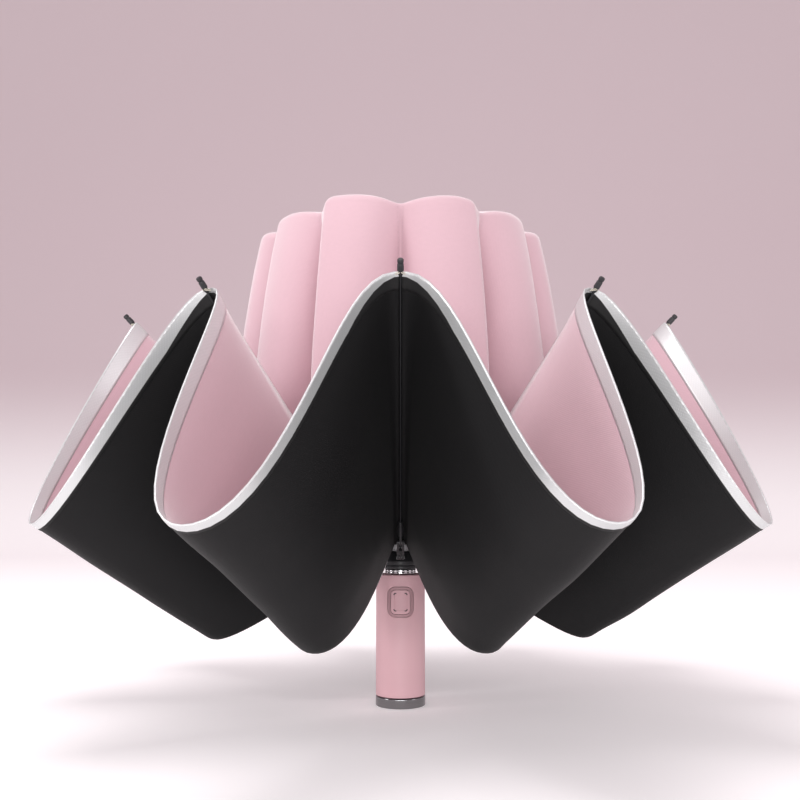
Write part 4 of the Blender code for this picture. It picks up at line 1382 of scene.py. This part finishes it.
class UMBRELLA_OT_collar(bpy.types.Operator):
    """Makes the polished ring and the dark collar above the grip"""

    bl_idname = "umbrella.collar"
    bl_label = "Ring and collar"

    def execute(self, context):
        sizes = context.scene.umbrella_handle
        foot, top, radius = foot_of("grip_ring"), top_of("grip_ring"), reach_of("grip_ring")
        bore = reach_of("lower_tube") + sizes.gap
        middle = (foot + top) / 2
        half, depth = RING_GROOVE
        corners = [(bore, middle), (bore, foot), (radius, foot), (radius, middle - half)]
        corners += [(radius - depth, middle), (radius, middle + half)]
        corners += [(radius, top), (bore, top), (bore, middle)]
        ring = turned("polished_ring", softened(corners, RING_ROUNDING, 5), 128)
        finished(ring, "chrome")
        stand_in(ring, "grip_ring", "handle")
        foot, top, radius = foot_of("handle_collar"), top_of("handle_collar"), reach_of("handle_collar")
        bore = reach_of("upper_tube") + sizes.gap
        start, depth, half = COLLAR_GROOVE
        middle = foot + COLLAR_START
        corners = [(bore, middle), (bore, foot), (radius, foot), (radius, foot + start)]
        corners += [(radius - depth, foot + start + half), (radius, foot + start + 2 * half)]
        corners += [(radius, foot + COLLAR_SHOULDER), (bore + COLLAR_LIP, top)]
        corners += [(bore, top), (bore, middle)]
        collar = turned("dark_collar", softened(corners, COLLAR_ROUNDING), 128)
        finished(collar, "plastic")
        stand_in(collar, "handle_collar", "handle")
        return {"FINISHED"}


TUBE_WALL = 0.0006
TUBE_ROUNDING = 0.00025


class UMBRELLA_OT_shaft(bpy.types.Operator):
    """Makes the three tubes of the shaft, each with a rolled upper end"""

    bl_idname = "umbrella.shaft"
    bl_label = "Shaft"

    def execute(self, context):
        for node, name, body in (
            ("lower_tube", "inner_tube", "handle"),
            ("middle_tube", "centre_tube", "middle_shaft"),
            ("upper_tube", "outer_tube", "upper_shaft"),
        ):
            foot, top, radius = foot_of(node), top_of(node), reach_of(node)
            bore = radius - TUBE_WALL
            corners = [(bore, (foot + top) / 2), (bore, foot), (radius, foot), (radius, top), (bore, top)]
            tube = turned(name, softened([*corners, corners[0]], TUBE_ROUNDING), 64)
            finished(tube, "steel")
            stand_in(tube, node, body)
        return {"FINISHED"}


class UMBRELLA_OT_crown(bpy.types.Operator):
    """Finishes the crown with its riveted top ribs, and the runner"""

    bl_idname = "umbrella.crown"
    bl_label = "Crown and runner"

    def execute(self, context):
        for node, finish in (("crown_and_top_ribs", "rib"), ("runner", "plastic")):
            finished(frame["nodes"][node], finish)
        return {"FINISHED"}


# The top cap's brim is this far below its top, and its stem is this much thinner than the tube's radius
BRIM_DROP = 0.0045
STEM_INSET = 0.0009
# The dome over the brim: shares of the cap's radius, and their heights from the cap's top
DOME = ((1, -0.0023), (0.93, -0.0009), (0.7, -0.0003), (0.3, 0))
DOME_ROUNDING = 0.0009


class UMBRELLA_OT_top_cap(bpy.types.Operator):
    """Makes the domed cap over the crown"""

    bl_idname = "umbrella.top_cap"
    bl_label = "Top cap"

    def execute(self, context):
        foot, top, radius = foot_of("top_cap"), top_of("top_cap"), reach_of("top_cap")
        brim = top - BRIM_DROP
        stem = reach_of("upper_tube") - STEM_INSET
        corners = [(stem / 2, foot), (stem, foot), (stem, brim), (radius, brim), *outline(radius, top, DOME)]
        cap = turned("domed_cap", softened(corners, DOME_ROUNDING, 5), 96, solid=True)
        finished(cap, "plastic")
        stand_in(cap, "top_cap", "upper_shaft")
        return {"FINISHED"}


# Parts of one rib overlap by this much where they are joined
LAP = 0.0005
# Play of a tongue or a rib in its fork, both sides together, and the length of the block behind the slot
FORK_PLAY = 0.0006
FORK_ROOT = 0.0025
RIVET_RADIUS = 0.0011
STRETCHER_RIVET_RADIUS = 0.0009
# Sheet metal of the middle ribs and of the stretchers
RIB_SHEET = 0.00045
STRETCHER_SHEET = 0.0004
# Bevels of tongues and cheeks, and of bent sheet
LINK_EDGE = 0.00015
SHEET_EDGE = 0.0003


def tongue(sizes, half_height):
    """The thin end of a link about the pin at the origin."""
    half = sizes.tongue_width / 2
    low = (-half_height, -half, -half_height)
    made = block("Tongue", low, (sizes.tongue_length + LAP, half, half_height))
    round_eye(made, -half_height, half_height)
    return edged(made, LINK_EDGE)


def fork(sizes, pin, half_height, slot_width, slot_length):
    """The two cheeks of a link's far end, and the block that they leave."""
    outer, inner = sizes.fork_width / 2, slot_width / 2
    slot_end = pin - slot_length
    parts = []
    for side in (1, -1):
        low, high = sorted((side * inner, side * outer))
        cheek = block("Cheek", (slot_end - LAP, low, -half_height), (pin + half_height, high, half_height))
        round_eye(cheek, pin + half_height, half_height)
        parts.append(edged(cheek, LINK_EDGE))
    root = block("Root", (slot_end - FORK_ROOT, -outer, -half_height), (slot_end, outer, half_height))
    return [*parts, edged(root, SHEET_EDGE)]


def channel(start, end, width, half_height, wall):
    """A sheet-metal channel that is open away from the cloth."""
    made = block("Channel", (start, -width / 2, -half_height), (end, width / 2, half_height))
    edged(made, SHEET_EDGE, 3)
    select_faces(made, lambda centre, normal: normal.z < -0.99 and close(centre.z, -half_height))
    bpy.ops.mesh.inset(thickness=wall)
    bpy.ops.mesh.extrude_region_move(TRANSFORM_OT_translate={"value": (0, 0, 2 * half_height - 2.5 * wall)})
    bpy.ops.object.mode_set(mode="OBJECT")
    return made


class UMBRELLA_OT_middle_ribs(bpy.types.Operator):
    """Makes the ten middle ribs: sheet-metal channels with a riveted fork"""

    bl_idname = "umbrella.middle_ribs"
    bl_label = "Middle ribs"

    def execute(self, context):
        sizes = context.scene.umbrella_ribs
        half = sizes.height / 2
        slot = sizes.tongue_width + FORK_PLAY
        end = MIDDLE_RIB_LENGTH - sizes.fork_length + LAP
        bar = channel(sizes.tongue_length, end, sizes.width, half, RIB_SHEET)
        steel = [tongue(sizes, half), bar]
        dark = fork(sizes, MIDDLE_RIB_LENGTH, half, slot, sizes.slot_length)
        for part in steel:
            finished(part, "rib")
        for part in dark:
            finished(part, "plastic")
        pin = rivet(MIDDLE_RIB_LENGTH, sizes.fork_width / 2, RIVET_RADIUS)
        made = joined("Middle rib", *steel, *dark, pin)
        on_all_ribs(made, UPPER_ELBOW, MIDDLE_RIB_ANGLE, "channel_rib", "middle_rib")
        return {"FINISHED"}


class UMBRELLA_OT_stretchers(bpy.types.Operator):
    """Makes the ten stretchers, whose long forks are riveted to the middle ribs"""

    bl_idname = "umbrella.stretchers"
    bl_label = "Stretchers"

    def execute(self, context):
        sizes = context.scene.umbrella_ribs
        half = sizes.stretcher_height / 2
        end = sizes.stretcher_length
        bar_end = end - sizes.stretcher_slot - FORK_ROOT + LAP
        bar = channel(sizes.tongue_length, bar_end, sizes.width, half, STRETCHER_SHEET)
        head = fork(sizes, end, half, sizes.width + FORK_PLAY, sizes.stretcher_slot)
        parts = [tongue(sizes, half), bar, *head]
        for part in parts:
            finished(part, "rib")
        for side in (1, -1):
            pin = rivet(end, RIVET_DOME, STRETCHER_RIVET_RADIUS)
            pin.data.transform(Matrix.Translation((0, side * (sizes.fork_width / 2 - RIVET_DOME), 0)))
            parts.append(pin)
        made = joined("Stretcher", *parts)
        angle = angle_between(RUNNER_PIVOT, away(UPPER_ELBOW, MIDDLE_RIB_ANGLE, STRETCHER_RIVET))
        on_all_ribs(made, RUNNER_PIVOT, angle, "steel_stretcher", "stretcher")
        return {"FINISHED"}


class UMBRELLA_OT_elbows(bpy.types.Operator):
    """Makes the ten moulded elbows between the middle and the outer ribs"""

    bl_idname = "umbrella.elbows"
    bl_label = "Elbows"

    def execute(self, context):
        sizes = context.scene.umbrella_ribs
        half = sizes.height / 2
        slot = sizes.tongue_width + FORK_PLAY
        parts = [tongue(sizes, half), *fork(sizes, ELBOW_LENGTH, half, slot, sizes.slot_length)]
        for part in parts:
            finished(part, "plastic")
        pin = rivet(ELBOW_LENGTH, sizes.fork_width / 2, RIVET_RADIUS)
        made = joined("Elbow", *parts, pin)
        on_all_ribs(made, LOWER_ELBOW, OUTER_RIB_ANGLE, "knuckle", "elbow")
        return {"FINISHED"}


def along_x(piece):
    """Lays a piece that stands on +Z along +X."""
    piece.data.transform(Matrix.Rotation(math.pi / 2, 4, "Y"))
    return piece


def stitch(start, end):
    """One thread laid over the hem, with a bow in its middle."""
    start, end = Vector(start), Vector(end)
    made = turned("Stitch", [(THREAD_RADIUS, z) for z in np.linspace(0, 1, 9)], 8, solid=True)
    way = end - start
    turn = way.to_track_quat("Z", "Y").to_matrix()
    for vertex in made.data.vertices:
        t = vertex.co.z
        lift = 4 * THREAD_BOW * t * (1 - t)
        vertex.co = start + way * t + turn @ Vector((vertex.co.x, vertex.co.y, 0)) + Vector((0, 0, lift))
    return made


# The sleeve's outline: shares of its radius, and the way along from its start and from its end
FERRULE_START = ((0.6, 0), (1, 0.0004))
FERRULE_END = ((1, -0.0045), (0.82, -0.004), (0.82, -0.001))
# The tip cap's outline: shares of its radius, and the way along from its foot, start, groove and end
CAP_GROOVE = 0.0045
TIP_PARTS = (
    ((0.7, 0.0006),),
    ((0.74, 0), (1, 0.0004)),
    ((0.96, -0.0003), (0.80, 0), (0.80, 0.0004), (0.94, 0.0007)),
    ((0.94, -0.0004), (0.7, 0)),
)
# Where both close on the wire, as a share of its radius, and how far the wire goes on inside them
WIRE_FIT = 1.1
WIRE_HIDDEN = 0.001
FERRULE_ROUNDING = 0.0004
TIP_ROUNDING = 0.0003
# A thread's two ends, out from the hem, across from the rib and up. The lower one lies under the tip cap, at
# this share of its radius
THREAD_LOW = (0.0008, 0.0004)
THREAD_HIGH = (-0.0016, 0.0026, 0.0006)
THREAD_UNDER = 0.85
THREAD_RADIUS = 0.00022
THREAD_SPACING = 0.0009
THREAD_BOW = -0.0003


class UMBRELLA_OT_outer_ribs(bpy.types.Operator):
    """Makes the ten outer ribs: a coated wire with a sleeve, a tip cap and the hem's stitches"""

    bl_idname = "umbrella.outer_ribs"
    bl_label = "Outer ribs"

    def execute(self, context):
        sizes = context.scene.umbrella_ribs
        half = sizes.height / 2
        end = context.scene.umbrella_cloth.outer_rib
        start = sizes.tongue_length
        sleeve_end = start + sizes.ferrule_length
        cap = end - sizes.cap_length
        rod, sleeve, tip = sizes.rod_radius, sizes.ferrule_radius, sizes.cap_radius
        corners = [*outline(sleeve, start, FERRULE_START), *outline(sleeve, sleeve_end, FERRULE_END)]
        corners.append((rod * WIRE_FIT, sleeve_end))
        ferrule = along_x(turned("Ferrule", softened(corners, FERRULE_ROUNDING), 24, solid=True))
        wire_ends = [(rod, sleeve_end - WIRE_HIDDEN), (rod, cap + WIRE_HIDDEN)]
        wire = along_x(turned("Wire", wire_ends, 16, solid=True))
        foot = cap - sizes.cap_foot
        corners = [(rod * WIRE_FIT, foot)]
        for place, shape in zip((foot, cap, cap + CAP_GROOVE, end), TIP_PARTS):
            corners += outline(tip, place, shape)
        ball = along_x(turned("Tip", softened(corners, TIP_ROUNDING), 24, solid=True))
        parts = [tongue(sizes, half), ferrule, ball]
        for part in parts:
            finished(part, "plastic")
        finished(wire, "wire")
        threads = []
        hem = end - context.scene.umbrella_cloth.hem_setback
        for side in (1, -1):
            for shift in (0.0, THREAD_SPACING):
                low = (hem + THREAD_LOW[0] + shift, side * THREAD_LOW[1], -tip * THREAD_UNDER)
                high = (hem + THREAD_HIGH[0] + shift, side * THREAD_HIGH[1], THREAD_HIGH[2])
                threads.append(finished(stitch(low, high), "thread"))
        made = joined("Outer rib", *parts, wire, *threads)
        on_all_ribs(made, OUTER_PIVOT, OUTER_RIB_ANGLE, "tipped_wire", "outer_rib")
        return {"FINISHED"}


# The studio


# Each lamp's place, aim, width and height, and watts
MIDDLE = (0, 0, 0.2)
LAMPS = {
    "key": ((-0.4, -0.2, 2.1), MIDDLE, (0.8, 0.8), 15),
    "side": ((-1.6, -0.6, 0.9), MIDDLE, (0.35, 1.0), 10),
    "fill": ((1.7, -0.9, 0.7), MIDDLE, (0.6, 1.0), 5),
    "low": ((0, -2.2, 0.20), (0, 0, 0.06), (1.8, 0.3), 19),
}
DAYLIGHT = (1, 0.985, 0.99, 1)
DAYLIGHT_STRENGTH = 0.71
SEEN_SKY = (0.55, 0.43, 0.475, 1)
FLOOR_SIZE = 8
BACKDROP_HEIGHT = 5
BACKDROP_SWEEP = 1.6
# In pixels: the photograph's width, its lens, and how far the umbrella's axis is from its middle
PHOTO_WIDTH = 800
FOCAL_LENGTH = 909.3
AXIS_SHIFT = -0.5
SENSOR_WIDTH = 36
CAMERA_PLACE = (0, -0.640, 0.1256)
CAMERA_TILT = 7.41
CAMERA_SEES = (0.01, 50)


def softbox(name, place, aim, size, power):
    light = bpy.data.lights.new(name, "AREA")
    light.shape = "RECTANGLE"
    light.size, light.size_y = size
    light.energy = power
    made = bpy.data.objects.new(name, light)
    made.location = place
    made.rotation_euler = (Vector(aim) - Vector(place)).to_track_quat("-Z", "Y").to_euler()
    bpy.context.scene.collection.objects.link(made)


def backdrop():
    """The floor, swept up into a wall behind."""
    deselect()
    bpy.ops.mesh.primitive_plane_add(size=FLOOR_SIZE, location=(0, 0, 0))
    floor = bpy.context.object
    floor.name = floor.data.name = "pale_floor"
    back = FLOOR_SIZE / 2
    select_edges(floor, lambda a, b: close(a.y, back) and close(b.y, back))
    bpy.ops.mesh.extrude_region_move(TRANSFORM_OT_translate={"value": (0, 0, BACKDROP_HEIGHT)})
    select_edges(floor, lambda a, b: all(close(end.y, back) and close(end.z, 0) for end in (a, b)))
    bpy.ops.mesh.bevel(offset=BACKDROP_SWEEP, segments=24, affect="EDGES")
    bpy.ops.object.mode_set(mode="OBJECT")
    bpy.ops.object.shade_smooth()
    finished(floor, "ground")


def daylight():
    """Even light all round, with the backdrop's colour where the camera, metal or glass look past it."""
    world = bpy.data.worlds.new("Studio")
    bpy.context.scene.world = world
    world.use_nodes = True
    nodes, join = world.node_tree.nodes, world.node_tree.links.new
    light, sky = nodes["Background"], nodes.new("ShaderNodeBackground")
    light.inputs["Color"].default_value = DAYLIGHT
    light.inputs["Strength"].default_value = DAYLIGHT_STRENGTH
    sky.inputs["Color"].default_value = SEEN_SKY
    either = nodes.new("ShaderNodeMixShader")
    join(seen_rays(world.node_tree), either.inputs[0])
    join(light.outputs[0], either.inputs[1])
    join(sky.outputs[0], either.inputs[2])
    join(either.outputs[0], nodes["World Output"].inputs[0])


def viewpoint():
    """The camera where the photograph was taken from."""
    scene = bpy.context.scene
    lens = bpy.data.cameras.new("View")
    lens.sensor_width = SENSOR_WIDTH
    lens.lens = SENSOR_WIDTH * FOCAL_LENGTH / PHOTO_WIDTH
    lens.shift_x = AXIS_SHIFT / PHOTO_WIDTH
    lens.clip_start, lens.clip_end = CAMERA_SEES
    camera = bpy.data.objects.new("View", lens)
    camera.location = CAMERA_PLACE
    camera.rotation_euler = (math.radians(90 + CAMERA_TILT), 0, 0)
    scene.collection.objects.link(camera)
    scene.camera = camera


class UMBRELLA_OT_stage(bpy.types.Operator):
    """Makes the pale floor and backdrop, the soft lights and the camera"""

    bl_idname = "umbrella.stage"
    bl_label = "Stage"

    def execute(self, context):
        backdrop()
        for name, lamp in LAMPS.items():
            softbox(name, *lamp)
        daylight()
        viewpoint()
        context.scene.view_settings.view_transform = "Standard"
        return {"FINISHED"}


OPERATORS = (
    UMBRELLA_OT_canopy,
    UMBRELLA_OT_grip,
    UMBRELLA_OT_button,
    UMBRELLA_OT_foot_cap,
    UMBRELLA_OT_collar,
    UMBRELLA_OT_shaft,
    UMBRELLA_OT_crown,
    UMBRELLA_OT_top_cap,
    UMBRELLA_OT_middle_ribs,
    UMBRELLA_OT_stretchers,
    UMBRELLA_OT_elbows,
    UMBRELLA_OT_outer_ribs,
    UMBRELLA_OT_hem_tape,
    UMBRELLA_OT_stage,
)


class UMBRELLA_PT_pieces(bpy.types.Panel):
    """Lists the pieces of the umbrella and the studio"""

    bl_idname = "UMBRELLA_PT_pieces"
    bl_label = "Inverted umbrella"
    bl_space_type = "VIEW_3D"
    bl_region_type = "UI"
    bl_category = "Umbrella"

    def draw(self, context):
        for operator in OPERATORS:
            self.layout.operator(operator.bl_idname)
        for name in GROUPS:
            group = getattr(context.scene, name)
            box = self.layout.box()
            for key in group.__annotations__:
                box.prop(group, key)


GROUPS = {
    "umbrella_cloth": UmbrellaClothSizes,
    "umbrella_handle": UmbrellaHandleSizes,
    "umbrella_ribs": UmbrellaRibSizes,
    "umbrella_colours": UmbrellaColours,
}


def register():
    for kind in (*GROUPS.values(), *OPERATORS, UMBRELLA_PT_pieces):
        bpy.utils.register_class(kind)
    for name, kind in GROUPS.items():
        setattr(bpy.types.Scene, name, bpy.props.PointerProperty(type=kind))


def unregister():
    for name in GROUPS:
        delattr(bpy.types.Scene, name)
    for kind in (UMBRELLA_PT_pieces, *reversed(OPERATORS), *reversed(GROUPS.values())):
        bpy.utils.unregister_class(kind)


def main():
    register()
    for operator in OPERATORS:
        area, name = operator.bl_idname.split(".")
        getattr(getattr(bpy.ops, area), name)()


if __name__ == "__main__":
    main()
